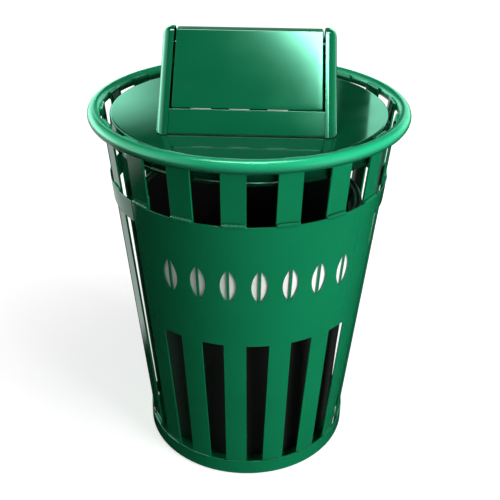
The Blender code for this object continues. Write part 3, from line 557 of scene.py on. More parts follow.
def coating_group():
    """Powder coat: orange peel and slow waves as height, clouds in colour, patches in gloss.

    A piece's shade attribute darkens its colour towards black: painted shade, set by height.
    """
    inputs = {
        "Colour": (0.0, 0.2, 0.1, 1.0), "Deep colour": (0.0, 0.1, 0.05, 1.0), "Roughness": 0.2,
        "Peel scale": 420.0, "Peel height": 0.0000025, "Wave height": 0.00006,
    }
    tree, given, out = new_group("Powder coat", inputs, ("Colour", "Roughness", "Height"))
    clouds = remap(tree, noise(tree, 7.0, 4.0), 0.35, 0.70, 0.0, 0.35)
    clouded = mixed(tree, clouds, given.outputs["Colour"], given.outputs["Deep colour"])
    painted_shade_node = tree.nodes.new("ShaderNodeAttribute")
    painted_shade_node.attribute_name = "shade"
    # painted shade: the shade attribute mixes the colour towards black
    tree.links.new(mixed(tree, painted_shade_node.outputs["Fac"], clouded, (0.0, 0.0, 0.0, 1.0)), out.inputs["Colour"])
    patches = remap(tree, noise(tree, 16.0, 3.0), 0.3, 0.7, -0.02, 0.03)
    tree.links.new(sum_of(tree, "ADD", given.outputs["Roughness"], patches), out.inputs["Roughness"])
    peel = sum_of(tree, "MULTIPLY", noise(tree, given.outputs["Peel scale"], 1.5), given.outputs["Peel height"])
    waves = sum_of(tree, "MULTIPLY_ADD", noise(tree, 9.0, 1.0), given.outputs["Wave height"], peel)
    tree.links.new(waves, out.inputs["Height"])
    return tree


def dust_group():
    """Dust: a thin veil on faces that look up, drawn out in wiped streaks, as colour and mask."""
    inputs = {"Colour": (0.5, 0.5, 0.5, 1.0), "Dust colour": (0.35, 0.34, 0.30, 1.0), "Amount": 0.05}
    tree, given, out = new_group("Dust", inputs, ("Colour", "Mask"))
    facing = tree.nodes.new("ShaderNodeSeparateXYZ")
    tree.links.new(tree.nodes.new("ShaderNodeNewGeometry").outputs["Normal"], facing.inputs[0])
    upward = remap(tree, facing.outputs["Z"], 0.2, 1.0)
    stretch = tree.nodes.new("ShaderNodeVectorMath")
    stretch.operation = "MULTIPLY"
    stretch.inputs[1].default_value = (1.0, 2.4, 2.4)
    tree.links.new(object_place(tree), stretch.inputs[0])
    broken = remap(tree, noise(tree, 9.0, 6.0, stretch.outputs[0]), 0.50, 0.80)
    mask = sum_of(tree, "MULTIPLY", sum_of(tree, "MULTIPLY", upward, broken), given.outputs["Amount"])
    tree.links.new(
        mixed(tree, mask, given.outputs["Colour"], given.outputs["Dust colour"]), out.inputs["Colour"]
    )
    tree.links.new(mask, out.inputs["Mask"])
    return tree


def grain_group():
    """Grain: fine pits over slow swells as height, and a matching change in gloss."""
    inputs = {"Roughness": 0.5, "Scale": 900.0, "Height": 0.00002}
    tree, given, out = new_group("Grain", inputs, ("Roughness", "Height"))
    fine = noise(tree, given.outputs["Scale"], 3.0)
    swell = sum_of(tree, "MULTIPLY", noise(tree, 14.0, 2.0), 6.0)
    total = sum_of(tree, "ADD", fine, swell)
    tree.links.new(sum_of(tree, "MULTIPLY", total, given.outputs["Height"]), out.inputs["Height"])
    change = remap(tree, noise(tree, 24.0, 4.0), 0.3, 0.7, -0.06, 0.06)
    tree.links.new(sum_of(tree, "ADD", given.outputs["Roughness"], change), out.inputs["Roughness"])
    return tree


def group_named(name):
    """A node group, made the first time it is asked for."""
    makers = {"Powder coat": coating_group, "Dust": dust_group, "Grain": grain_group}
    return bpy.data.node_groups.get(name) or makers[name]()


def place_group(tree, name, **values):
    """A node group put in a tree, with values or sockets given to its inputs."""
    node = tree.nodes.new("ShaderNodeGroup")
    node.node_tree = group_named(name)
    for label, value in values.items():
        give(tree, value, node.inputs[label.replace("_", " ")])
    return node


def new_material(name, **constants):
    """A material with its shader; constants are set on the shader's own sockets."""
    made = bpy.data.materials.new(name)
    made.use_nodes = True
    shader = made.node_tree.nodes["Principled BSDF"]
    for label, value in constants.items():
        shader.inputs[label.replace("_", " ")].default_value = value
    return made, made.node_tree, shader


def bump(tree, height, shader):
    """Height in metres to the shader's normal."""
    node = tree.nodes.new("ShaderNodeBump")
    node.inputs["Strength"].default_value = 1.0
    node.inputs["Distance"].default_value = 1.0
    tree.links.new(height, node.inputs["Height"])
    tree.links.new(node.outputs["Normal"], shader.inputs["Normal"])


# Paints: settings of the colour and of the colour where it clouds, roughness of the coat and of its
# clear top
PAINTS = {
    "green_powder_coat": ("green", "deep_green", 0.07, 0.03),
    # painted light: the rim's green, also on its welds, is a brighter copy of the body's green, so that the rim looks
    # more strongly lit
    "bright_green_powder_coat": ("rim_green", "deep_rim_green", 0.34, 0.14),
}
PAINT_DUST = 0.018

# Moulded finishes: colour or its setting, roughness, scale and height of the grain, dust, index of
# refraction
MOULDED = {
    "black_polyethylene": ("liner_black", 0.48, 700.0, 0.00002, 0.15, 1.5),
    "white_acrylic": ("backing_white", 0.32, 300.0, 0.000004, 0.04, 1.49),
    "black_rubber": ((0.012, 0.012, 0.013), 0.72, 1100.0, 0.00003, 0.15, 1.5),
    "natural_nylon": ((0.80, 0.80, 0.77), 0.42, 500.0, 0.00001, 0.05, 1.53),
}


def solid_colour(value):
    """A colour with its alpha, from the colour or from the name of its setting."""
    if isinstance(value, str):
        value = getattr(bpy.context.scene.bin_colours, value)
    return (*value, 1.0)


def paint_material(name):
    """Glossy powder coat under a clear top, with a trace of dust."""
    colour, deep, roughness, top_roughness = PAINTS[name]
    made, tree, shader = new_material(
        name, IOR=1.5, Coat_Weight=1.0, Coat_Roughness=top_roughness, Coat_IOR=1.5
    )
    coat = place_group(
        tree, "Powder coat", Colour=solid_colour(colour), Deep_colour=solid_colour(deep), Roughness=roughness
    )
    veil = place_group(tree, "Dust", Colour=coat.outputs["Colour"], Amount=PAINT_DUST)
    tree.links.new(veil.outputs["Colour"], shader.inputs["Base Color"])
    rough = sum_of(tree, "ADD", coat.outputs["Roughness"], veil.outputs["Mask"])
    tree.links.new(rough, shader.inputs["Roughness"])
    bump(tree, coat.outputs["Height"], shader)
    return made


def moulded_material(name):
    """Plastic or rubber with a moulded grain and a little dust."""
    colour, roughness, scale, height, dust, refraction = MOULDED[name]
    made, tree, shader = new_material(name, IOR=refraction)
    grain = place_group(tree, "Grain", Roughness=roughness, Scale=scale, Height=height)
    veil = place_group(tree, "Dust", Colour=solid_colour(colour), Amount=dust)
    tree.links.new(veil.outputs["Colour"], shader.inputs["Base Color"])
    tree.links.new(grain.outputs["Roughness"], shader.inputs["Roughness"])
    bump(tree, grain.outputs["Height"], shader)
    return made


def zinc_material(name):
    """Zinc: crystal patches that differ a little in tone and gloss, over fine drawing lines."""
    made, tree, shader = new_material(name, Metallic=1.0)
    spot = tree.nodes.new("ShaderNodeTexVoronoi")
    spot.inputs["Scale"].default_value = 320.0
    tree.links.new(object_place(tree), spot.inputs["Vector"])
    tone = tree.nodes.new("ShaderNodeSeparateColor")
    tree.links.new(spot.outputs["Color"], tone.inputs[0])
    colour = mixed(tree, tone.outputs[0], (0.52, 0.53, 0.55, 1.0), (0.66, 0.66, 0.65, 1.0))
    tree.links.new(colour, shader.inputs["Base Color"])
    tree.links.new(remap(tree, tone.outputs[1], 0.0, 1.0, 0.24, 0.42), shader.inputs["Roughness"])
    bump(tree, sum_of(tree, "MULTIPLY", noise(tree, 1500.0, 2.0), 0.000006), shader)
    return made


def finish(slot):
    """The material of a slot, made the first time it is asked for."""
    made = bpy.data.materials.get(slot)
    if made is None or "finished" not in made:
        makers = {**dict.fromkeys(PAINTS, paint_material), **dict.fromkeys(MOULDED, moulded_material)}
        makers["zinc_plated_steel"] = zinc_material
        made = makers[slot](slot)
        made["finished"] = True
    return made


def keep_node(node, slot):
    """A frame node whose shape is right keeps its mesh and gets the finish of its slot."""
    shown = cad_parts[node]
    shown.data.materials.clear()
    shown.data.materials.append(finish(slot))


# Body

def make_rim():
    """Bent tube: a circle carried round a circle, a hair out of true in three slow lobes."""
    azimuth, turn = circle(288)[:, None], circle(36)[None]
    lobes = RIM_WOBBLE * np.sin(3 * azimuth + 0.8)
    radius = RIM_RADIUS + lobes + RIM_TUBE * np.cos(turn)
    points = round_axis(radius, azimuth, RIM_MIDDLE + RIM_TUBE * np.sin(turn))
    tube = new_piece("rim_tube", [patch(points, True, True)], "frame", "bright_green_powder_coat", ["top_ring"])
    # painted shade: the tube's paint is darker towards its lower half, where less light falls
    paint_shade_by_height(tube, RIM_MIDDLE, RIM_PAINTED_SHADE)
    turn = np.linspace(0, 2 * math.pi, 181)[:, None]
    seam = BODY_TURN + math.pi
    spoke = np.cos(turn) * outwards(seam) + np.sin(turn) * UP
    path = round_axis(RIM_RADIUS, seam, RIM_MIDDLE) + spoke * (RIM_TUBE - SEAM_SINK)
    side = np.broadcast_to(sideways(seam), spoke.shape)
    ring = bead(path, spoke, side, (0.0019, 0.0032), 0.0030, True)
    new_piece("rim_seam_weld", [ring], "frame", "bright_green_powder_coat")


def straight_path(middle, axes, length):
    """A path for rounded_bar: straight along the third axis, half its length each way."""
    def path(at):
        points = middle + (at - length / 2)[:, None] * axes[2]
        return points, np.repeat(axes[:1], len(at), 0), np.repeat(axes[1:2], len(at), 0)
    return path


def make_bars(edge):
    """Flat bars: rounded rectangles carried along straight lines, one for each slat's node."""
    names = [f"short_slat_{number}" for number in range(1, SHORT_COUNT + 1)]
    names += [f"slat_{number:02d}" for number in range(1, SLAT_COUNT - SHORT_COUNT + 1)]
    for node in names:
        middle, axes, size = bar_frame(node)
        bar = rounded_bar(size, edge, straight_path(middle, axes, size[2]), rows=6)
        weigh(new_piece(node.replace("slat", "bar"), [bar], "frame", "green_powder_coat", [node]))


def hoop(start, sweep, bottom, top, thick, edge, columns, closed=False):
    """A flat hoop round the bars: its section carried round from one azimuth.

    An open hoop leans with the bars; a closed one is upright and clears them at its top.
    """
    middle = (bottom + top) / 2
    lean = 0.0 if closed else BAR_LEAN
    inner = hoop_radius(top if closed else middle)
    length = sweep * inner
    height = (top - bottom) / math.cos(lean)

    def path(at):
        azimuth = start + at / length * sweep
        radial = outwards(azimuth)
        up = radial * math.sin(lean) + UP * math.cos(lean)
        out = radial * math.cos(lean) - UP * math.sin(lean)
        return round_axis(inner + thick / 2, azimuth, middle), up, out

    if not closed:
        return rounded_bar((height, thick, length), edge, path, rows=columns)
    corners = np.array([(1, 1), (-1, 1), (-1, -1), (1, -1)]) * (height / 2, thick / 2)
    section = rounded_path(corners, edge, 3, True)
    centre, up, out = path(np.linspace(0, length, columns, endpoint=False))
    points = centre[:, None] + section[None, :, :1] * up[:, None] + section[None, :, 1:] * out[:, None]
    return patch(points, True, True)


def make_bands(edge):
    """The hoop at the height of the sheet's top, open where the sheet is, and the one at the foot."""
    end = SHEET_HALF_ANGLE + BAND_END_GAP / bar_radius(SHEET_TOP)
    upper = hoop(BODY_TURN + end, 2 * (math.pi - end), UPPER_BOTTOM, UPPER_TOP, SHEET_WALL, edge, 160)
    weigh(new_piece("upper_hoop", [upper], "frame", "green_powder_coat", ["upper_band"]))
    lower = hoop(BODY_TURN, 2 * math.pi, BAND_LOW.z, BAND_HIGH.z, FOOT_BAND_WALL, edge, 240, True)
    weigh(new_piece("foot_hoop", [lower], "frame", "green_powder_coat", ["bottom_band"]))


def slot_edge(height):
    """Azimuth of a slot's edge from the slot's middle; the fingers beside it keep one width."""
    reach = hoop_radius(height)
    return np.arcsin((reach * math.tan(BAR_PITCH / 2) - BAR_WIDTH / 2) / reach)


def slot_columns(height):
    """Azimuths of the sheet's columns where it is cut into fingers, for an array of heights."""
    edge = slot_edge(height)
    stops = [np.full(height.shape, -SHEET_HALF_ANGLE)]
    for index in range(-2, 3):
        stops += [index * BAR_PITCH - edge, index * BAR_PITCH + edge]
    stops.append(np.full(height.shape, SHEET_HALF_ANGLE))
    cells = [FINGER_CELLS]
    for count in SLOT_CELLS:
        cells += [count, FINGER_CELLS]
    parts = []
    for low, high, count in zip(stops, stops[1:], cells):
        share = np.arange(count) / count
        parts.append(low[..., None] * (1 - share) + high[..., None] * share)
    parts.append(stops[-1][..., None])
    return np.concatenate(parts, -1), np.repeat(np.arange(len(cells)) % 2 == 1, cells)


def leaf_columns():
    """Azimuths of the same columns where the leaves are: even, with one on each rib's middle."""
    half_row = LEAF_SPREAD / 2 + LEAF_SPREAD / (LEAF_COUNT - 1) / 2
    end = np.linspace(half_row, SHEET_HALF_ANGLE, LEAF_CELLS + 1)
    row = np.linspace(-half_row, half_row, 2 * LEAF_COUNT * LEAF_CELLS + 1)
    return np.concatenate([-end[:0:-1], row, end[1:]])


def half_leaf(side, cells, rows):
    """One half of a leaf, in the order of block_loop: an arc from tip to tip and back by the rib.

    The arc passes through both tips and bulges to the leaf's half width.
    """
    half, inner = LEAF_HEIGHT / 2, LEAF_RIB / 2
    bulge = LEAF_HALF_WIDTH - inner
    radius = (half ** 2 + bulge ** 2) / (2 * bulge)
    reach = math.asin(half / radius)
    knee = LEAF_KNEE * reach
    turns = np.concatenate([
        np.linspace(-reach, -knee, cells, endpoint=False),
        np.linspace(-knee, knee, rows, endpoint=False),
        np.linspace(knee, reach, cells, endpoint=False),
    ])
    arc = stacked(inner + bulge - radius * (1 - np.cos(turns)), radius * np.sin(turns))
    rib = stacked(inner, np.linspace(half, -half, rows, endpoint=False))
    outline = np.concatenate([arc, rib])
    return outline * np.array([side, 1.0])


def on_sheet(azimuth, height):
    """Points on the front sheet's outer face."""
    return round_axis(hoop_radius(height) + SHEET_WALL, BODY_TURN + azimuth, height)


def make_front_sheet(edge):
    """Front sheet: one grid on the bars' cone, fingers below and a ring of points round each hole."""
    bottom = BAND_HIGH.z + TOUCH
    rows_slots = np.linspace(bottom, SLOT_TOP, 13)
    rows_blend = np.linspace(SLOT_TOP, LEAF_MIDDLE - LEAF_BLOCK, 8)
    rows_leaf = np.linspace(LEAF_MIDDLE - LEAF_BLOCK, LEAF_MIDDLE + LEAF_BLOCK, LEAF_ROWS + 1)
    rows_top = np.linspace(LEAF_MIDDLE + LEAF_BLOCK, SHEET_TOP, 7)
    rows = np.concatenate([rows_slots, rows_blend[1:], rows_leaf[1:], rows_top[1:]])
    cut, in_slot = slot_columns(rows)
    even = leaf_columns()[None]
    share = np.clip((rows - SLOT_TOP) / (rows_leaf[0] - SLOT_TOP), 0, 1)[:, None]
    share = share * share * (3 - 2 * share)
    azimuth = cut * (1 - share) + even * share
    keep = np.ones((len(rows) - 1, azimuth.shape[1] - 1), bool)
    keep[:len(rows_slots) - 1, in_slot] = False
    first = len(rows_slots) + len(rows_blend) - 2
    keep[first:first + LEAF_ROWS, LEAF_CELLS:-LEAF_CELLS] = False
    patches = [patch(on_sheet(azimuth, rows[:, None]), keep=keep)]
    row_azimuths = leaf_columns()[LEAF_CELLS:-LEAF_CELLS]
    for number in range(LEAF_COUNT):
        middle = 2 * number * LEAF_CELLS + LEAF_CELLS
        rib = row_azimuths[middle]
        for side in (-1, 1):
            span = row_azimuths[middle::side][:LEAF_CELLS + 1]
            outline = half_leaf(side, LEAF_CELLS, LEAF_ROWS)
            height = LEAF_MIDDLE + outline[:, 1] * math.cos(BAR_LEAN)
            around = rib + np.arcsin(outline[:, 0] / (hoop_radius(height) + SHEET_WALL))
            ring = hole_rings(block_loop(span, rows_leaf), stacked(around, height), 5, on_sheet)
            patches.append(ring)
    sheet = new_piece("front_wrap", patches, "frame", "green_powder_coat", ["front_sheet"])
    face_outwards(sheet)
    wall(sheet, SHEET_WALL, edge / 2)


def make_backing():
    """Strip behind the cut-outs: a patch of the bars' cone just inside the sheet."""
    low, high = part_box("sign_backing")
    end = LEAF_SPREAD / 2 + (LEAF_HALF_WIDTH + BACKING_MARGIN) / bar_radius(LEAF_MIDDLE)
    azimuth = np.linspace(-end, end, 97)[None]
    height = np.linspace(low.z, high.z, 9)[:, None]
    points = round_axis(hoop_radius(height) - TOUCH, BODY_TURN + azimuth, height)
    strip = new_piece("cutout_backing", [patch(points)], "frame", "white_acrylic", ["sign_backing"])
    face_outwards(strip)
    wall(strip, BACKING_WALL)


def weld_on_bars(indexes, joint, rise, proud, share, sizes):
    """One bead across each bar, by so much above a joint's height and outside the bars' cone."""
    half = share * BAR_WIDTH / 2
    offset = np.linspace(-half, half, 121)[:, None]
    made = []
    for index in indexes:
        azimuth = bar_azimuth(index)
        path = round_axis(bar_radius(joint) + proud, azimuth, joint + rise) + offset * sideways(azimuth)
        out, up = (np.broadcast_to(axis, path.shape) for axis in (outwards(azimuth), UP))
        made.append(bead(path, out, up, sizes))
    return made


def make_welds():
    """Painted weld beads where the bars meet the rim, the sheet and the hoops.

    Each row of beads has its bars, the joint's height, how far the beads lie above it and outside
    the bars, the share of a bar's width they take, and their half sizes (outwards, upwards).
    """
    short, full = list(short_indexes()), list(full_indexes())
    foot = BAND_HIGH.z
    rows = {
        "rim_welds": (
            (short + full, RIM_MIDDLE, -0.0075, 0.0010, 0.94, (0.0030, 0.0034)),
            (short + full, RIM_MIDDLE, 0.0068, 0.0008, 0.90, (0.0030, 0.0026)),
        ),
        "sheet_welds": ((short, SHEET_TOP, 0.0012, 0.0022, 0.98, (0.0038, 0.0056)),),
        "hoop_welds": (
            (full, UPPER_TOP, 0.0006, 0.0020, 0.96, (0.0026, 0.0026)),
            (full, UPPER_BOTTOM, -0.0006, 0.0018, 0.80, (0.0022, 0.0022)),
        ),
        "foot_welds": (
            (full, foot, 0.0008, 0.0018, 0.96, (0.0026, 0.0024)),
            (short, foot, 0.0006, 0.0062, 0.90, (0.0018, 0.0022)),
        ),
    }
    for name, welds in rows.items():
        slot = "bright_green_powder_coat" if name == "rim_welds" else "green_powder_coat"
        new_piece(name, [made for weld in welds for made in weld_on_bars(*weld)], "frame", slot)


def make_lugs():
    """Angle brackets: a bent line carried across the bracket's width."""
    for number in range(1, 5):
        node = f"lid_lug_{number}"
        points = node_points(node)
        middle, top = (points.min(0) + points.max(0)) / 2, points[:, 2].max()
        azimuth = math.atan2(middle[0], -middle[1])
        side = sideways(azimuth)
        half = np.ptp(points @ side) / 2
        face = bar_radius(top) - BAR_SIZE[1] / math.cos(BAR_LEAN) - TOUCH
        foot = face - LUG_LEG * math.tan(BAR_LEAN)
        line = rounded_path([(face - LUG_REACH, 0.0), (face, 0.0), (foot, -LUG_LEG)], LUG_BEND, 6)
        grid = line[:, None, :1] * outwards(azimuth) + (top + line[:, None, 1:]) * UP
        grid = grid + np.linspace(-half, half, 9)[None, :, None] * side
        lug = new_piece(f"lid_rest_{number}", [patch(grid)], "frame", "green_powder_coat", [node])
        face_along(lug, 2)
        wall(lug, LUG_WALL, 0.0006)


def hexagon_recess(points, reach, below):
    """Points nearer the axis than reach and lower than below, moved in to a hexagon's flats."""
    sixth = math.pi / 3
    azimuth = np.arctan2(points[:, 0], -points[:, 1])
    facet = np.cos(sixth / 2) / np.cos((azimuth % sixth) - sixth / 2)
    inside = (np.hypot(points[:, 0], points[:, 1]) < reach) & (points[:, 2] < below)
    return points * np.where(inside[:, None], stacked(facet, facet, 1.0), 1.0)


def make_feet():
    """Rubber feet and their screws: turned profiles; a screw's recess is a hexagon in its head."""
    for number in range(1, 5):
        low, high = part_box(f"foot_{number}")
        spot = (low + high) / 2
        spot.z = 0.0
        corners = [
            (FOOT_BORE, high.z), (FOOT_TOP, high.z), (FOOT_RADIUS, FOOT_EDGE), (FOOT_RADIUS, 0.0),
            (FOOT_RECESS, 0.0), (FOOT_RECESS, FOOT_RECESS_DEPTH), (FOOT_BORE, FOOT_RECESS_DEPTH),
        ]
        profile = rounded_path(corners, [0.0004, 0.0012, 0.0006, 0.0010, 0.0008, 0.0004, 0.0004], 4, True)
        foot = placed(turned(profile, 56), spot)
        new_piece(f"rubber_foot_{number}", [foot], "frame", "black_rubber", [f"foot_{number}"])
        low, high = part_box(f"foot_screw_{number}")
        head, neck, socket = low.z, low.z + SCREW_HEAD_HEIGHT, low.z + HEXAGON_DEPTH
        corners = [
            (0.0, high.z), (SCREW_RADIUS, high.z), (SCREW_RADIUS, neck), (SCREW_HEAD, neck), (SCREW_HEAD, head),
            (HEXAGON_RADIUS, head), (HEXAGON_RADIUS - 0.0002, socket), (0.0, socket),
        ]
        profile = rounded_path(corners, [0.0, 0.0005, 0.0003, 0.0005, 0.0014, 0.0003, 0.0003, 0.0], 3)
        points, faces = turned(profile, 48, False)
        points = hexagon_recess(points, HEXAGON_RADIUS + HEXAGON_SLACK, head + 0.003)
        screw = placed((points, faces), spot)
        new_piece(f"foot_bolt_{number}", [screw], "frame", "zinc_plated_steel", [f"foot_screw_{number}"])


# Liner

def grip_outline(cells, rows):
    """A slot with round ends, in the order of block_loop, corners of the block at the arcs' middles."""
    straight = GRIP_HALF_LENGTH - GRIP_RADIUS
    eighth = math.pi / 4 * GRIP_RADIUS
    side = 2 * straight + 2 * eighth
    at = np.arange(cells) / cells * side
    beyond = np.clip((at - eighth - 2 * straight) / GRIP_RADIUS, 0, 2)
    turn = np.where(at < eighth, (at - eighth) / GRIP_RADIUS, beyond)
    x = np.clip(at - eighth, 0, 2 * straight) - straight + GRIP_RADIUS * np.sin(turn)
    bottom = stacked(x, -GRIP_RADIUS * np.cos(turn))
    turn = np.linspace(-math.pi / 4, math.pi / 4, rows, endpoint=False)
    right = stacked(straight + GRIP_RADIUS * np.cos(turn), GRIP_RADIUS * np.sin(turn))
    return np.concatenate([bottom, right, -bottom, -right])


def make_liner():
    """Liner: a line from the middle of its base up and over its lip, turned round the axis."""
    lip, base_low, top = LINER_HIGH.x, LINER_LOW.z, LINER_HIGH.z
    rim = lip - LINER_LIP_WIDTH
    middle = top - GRIP_BELOW_LIP
    corners = [
        (0.0, base_low), (rim - LINER_TAPER, base_low), (rim, top - 0.0001), (lip, top - 0.0001),
        (lip, top - LINER_LIP_DROP),
    ]
    line = rounded_path(corners, [0.0, LINER_FOOT_CORNER, 0.0042, 0.0046, 0.0], 6)
    foot, over = line[:8], line[8:]
    columns, cells, rows = 160, 14, 8

    def wall_radius(height):
        """The wall's radius: a straight line in height, from the foot's corner to the lip's."""
        return foot[-1, 0] + (height - foot[-1, 1]) * (over[0, 0] - foot[-1, 0]) / (over[0, 1] - foot[-1, 1])

    block_rows = np.linspace(middle - GRIP_BLOCK, middle + GRIP_BLOCK, rows + 1)
    lower = np.linspace(foot[-1, 1], block_rows[0], 22)[1:]
    heights = np.concatenate([lower, block_rows[1:], over[:1, 1]])
    base_in = stacked(np.linspace(0, foot[1, 0], 10)[:-1], base_low)
    profile = np.concatenate([base_in, foot[1:], stacked(wall_radius(heights), heights), over[1:]])
    azimuth = circle(columns)
    keep = np.ones((len(profile) - 1, columns), bool)
    first = len(base_in) + len(foot) - 1 + len(lower) - 1
    outline = grip_outline(cells, rows)
    holes = []
    for quarter in (columns // 4, 3 * columns // 4):
        keep[first:first + rows, quarter - cells // 2:quarter + cells // 2] = False
        span = azimuth[quarter] + (np.arange(cells + 1) - cells / 2) * 2 * math.pi / columns
        around = azimuth[quarter] + outline[:, 0] / wall_radius(middle)
        rings = hole_rings(
            block_loop(span, block_rows), stacked(around, middle + outline[:, 1]), 4,
            lambda a, z: round_axis(wall_radius(z), a, z),
        )
        holes.append(rings)
    points = round_axis(profile[:, None, 0], azimuth, profile[:, None, 1])
    shell = patch(points, wrap_columns=True, keep=keep)
    liner = new_piece("rigid_liner", [shell, *holes], "liner", "black_polyethylene", ["liner"])
    face_outwards(liner)
    wall(liner, LINER_WALL, 0.0008)


# Lid

def make_lid_disc():
    """Lid: rings that lead from the throat's outline to circles, over the edge and back beneath."""
    wide, deep, corner = THROAT
    corners = [(-wide, -deep), (wide, -deep), (wide, deep), (-wide, deep)]
    arcs = rounded_path(corners, corner, 8, True).reshape(4, 9, 2)
    share = np.linspace(0, 1, 36)[1:-1, None]
    sides = [arc[-1] * (1 - share) + ahead[0] * share for arc, ahead in zip(arcs, np.roll(arcs, -1, 0))]
    throat = np.concatenate([np.concatenate([arc, side]) for arc, side in zip(arcs, sides)])
    spoke = throat / np.linalg.norm(throat, axis=1)[:, None]
    top, low, radius, hem = LID_HIGH.z, LID_LOW.z, LID_RADIUS, LID_LOW.z + LID_HEM_HEIGHT
    flat_end = radius - LID_CORNER - 0.002
    corners = [
        (flat_end, top), (radius, top), (radius, hem), (LID_HEM_RADIUS, hem - 0.001), (LID_HEM_RADIUS, low),
        (radius - LID_WALL, low), (radius - LID_WALL, top - LID_WALL), (flat_end, top - LID_WALL),
    ]
    line = rounded_path(corners, [0.0, LID_CORNER, 0.0010, 0.0011, 0.0022, 0.0006, LID_CORNER - LID_WALL, 0.0], 6)
    inwards = np.linspace(0, 1, 14)[:-1]
    blend = np.concatenate([inwards, np.ones(len(line)), inwards[::-1]])[:, None, None]
    line = np.pad(line, ((len(inwards), len(inwards)), (0, 0)), "edge")[:, None]
    flat = throat * (1 - blend) + spoke * line[..., :1] * blend
    points = stacked(flat[..., 0], flat[..., 1], line[..., 1])
    lid = new_piece("lid_pan", [patch(points, True, True)], "lid", "green_powder_coat", ["lid_disc", "lid_skirt"])
    # painted shadow: the skirt below the lid's top is darkened as if in the rim's shadow
    paint_shade_by_height(lid, top, LID_PAINTED_SHADOW)
    weigh(lid)


def tent_half(inset, radius, foot, counts=(4, 9, 10)):
    """Half a side view of the hood as (distance from the middle plane, height), ridge to foot.

    inset moves its faces inwards and may be an array; the ridge's corner keeps one centre where it
    can. foot(inset) gives the slope's lower end.
    """
    inset = np.asarray(inset, float)[..., None]
    round_off = np.maximum(radius - inset, 0.0008)
    tangent = round_off * math.tan(HOOD_SLOPE / 2)
    edge = RIDGE_HALF_DEPTH - inset * math.tan(HOOD_SLOPE / 2)
    top = RIDGE_TOP - inset
    share = np.linspace(0, 1, counts[0])
    flat = stacked((edge - tangent) * share, top)
    turn = np.linspace(0, HOOD_SLOPE, counts[1])
    arc = stacked(edge - tangent + round_off * np.sin(turn), top - round_off * (1 - np.cos(turn)))
    start = arc[..., -1:, :]
    end = foot(inset[..., 0])[..., None, :]
    share = np.linspace(0, 1, counts[2])[:, None]
    slope = start * (1 - share) + end * share
    return np.concatenate([flat[..., :-1, :], arc[..., :-1, :], slope], -2)


def slope_point(along, depth):
    """Point on a slope, (distance from the middle plane, height)."""
    y = RIDGE_HALF_DEPTH + along * math.cos(HOOD_SLOPE) - depth * math.sin(HOOD_SLOPE)
    z = RIDGE_TOP - along * math.sin(HOOD_SLOPE) - depth * math.cos(HOOD_SLOPE)
    return stacked(y, z)


def base_foot(inset):
    """Where a slope moved inwards by inset meets the hood's base."""
    run = (RIDGE_TOP - HOOD_BASE) / math.tan(HOOD_SLOPE) - inset / math.sin(HOOD_SLOPE)
    return stacked(RIDGE_HALF_DEPTH + run, HOOD_BASE)


def both_halves(half):
    """A half view joined with its mirror image, front foot to rear foot."""
    front = half[..., ::-1, :] * np.array([-1.0, 1.0])
    return np.concatenate([front, half[..., 1:, :]], -2)


def make_cheeks():
    """Hood cheek: a wall, a quarter round and a flat face, carried along the tent's outline."""
    turn = np.linspace(0, math.pi / 2, 13)
    straight = np.linspace(CHEEK_INNER, HOOD_HALF_WIDTH - CHEEK_NOSE, 4)[:-1]
    nose = HOOD_HALF_WIDTH - CHEEK_NOSE + CHEEK_NOSE * np.sin(turn)
    across = np.concatenate([straight, nose, np.full(8, HOOD_HALF_WIDTH)])[:, None]
    inset = np.concatenate([np.zeros(3), CHEEK_NOSE * (1 - np.cos(turn))]) - CHEEK_PROUD
    outline = both_halves(tent_half(inset, CHEEK_TOP_CORNER - CHEEK_PROUD, base_foot))
    share = np.linspace(0, 1, 9)[1:, None, None]
    face = outline[-1] * (1 - share) + np.array([0.0, HOOD_BASE]) * share
    views = np.concatenate([outline, face])
    for side, word in SIDES:
        points = stacked(side * across, views[..., 0], views[..., 1])
        cheek = new_piece(
            f"cheek_{word}", [patch(points)], "lid", "green_powder_coat", [f"hood_cheek_{word}"], 60.0
        )
        face_along(cheek, 0, side)
        wall(cheek, CHEEK_WALL, 0.0005)


def make_lower_panels():
    """Fixed panels: a bent line (return, slope, foot flange) carried across the hood."""
    top = DOOR_LENGTH + FLAP_GAP
    half = CHEEK_INNER - TOUCH
    foot = base_foot(0.0)
    corners = [slope_point(top, PANEL_RETURN), slope_point(top, 0.0), foot, foot - (PANEL_FLANGE, 0.0)]
    line = rounded_path(corners, [0.0, 0.0022, 0.0022, 0.0], 5)[:, None]
    for side, word in ENDS:
        points = stacked(np.linspace(-half, half, 25), side * line[..., 0], line[..., 1])
        panel = new_piece(
            f"{word}_panel", [patch(points)], "lid", "green_powder_coat", [f"hood_{word}_panel"]
        )
        face_along(panel, 1, side)
        wall(panel, PANEL_WALL, 0.0003)


def fold_steps(bend, depth, arc_steps=6, flange_steps=4):
    """How far out and how deep a folded edge is, step by step: a quarter round and a flange."""
    turn = np.linspace(0, math.pi / 2, arc_steps + 1)
    down = np.linspace(bend, depth, flange_steps + 1)[1:]
    reach = np.concatenate([bend * np.sin(turn), np.full(flange_steps, bend)])
    return reach, np.concatenate([bend * (1 - np.cos(turn)), down])


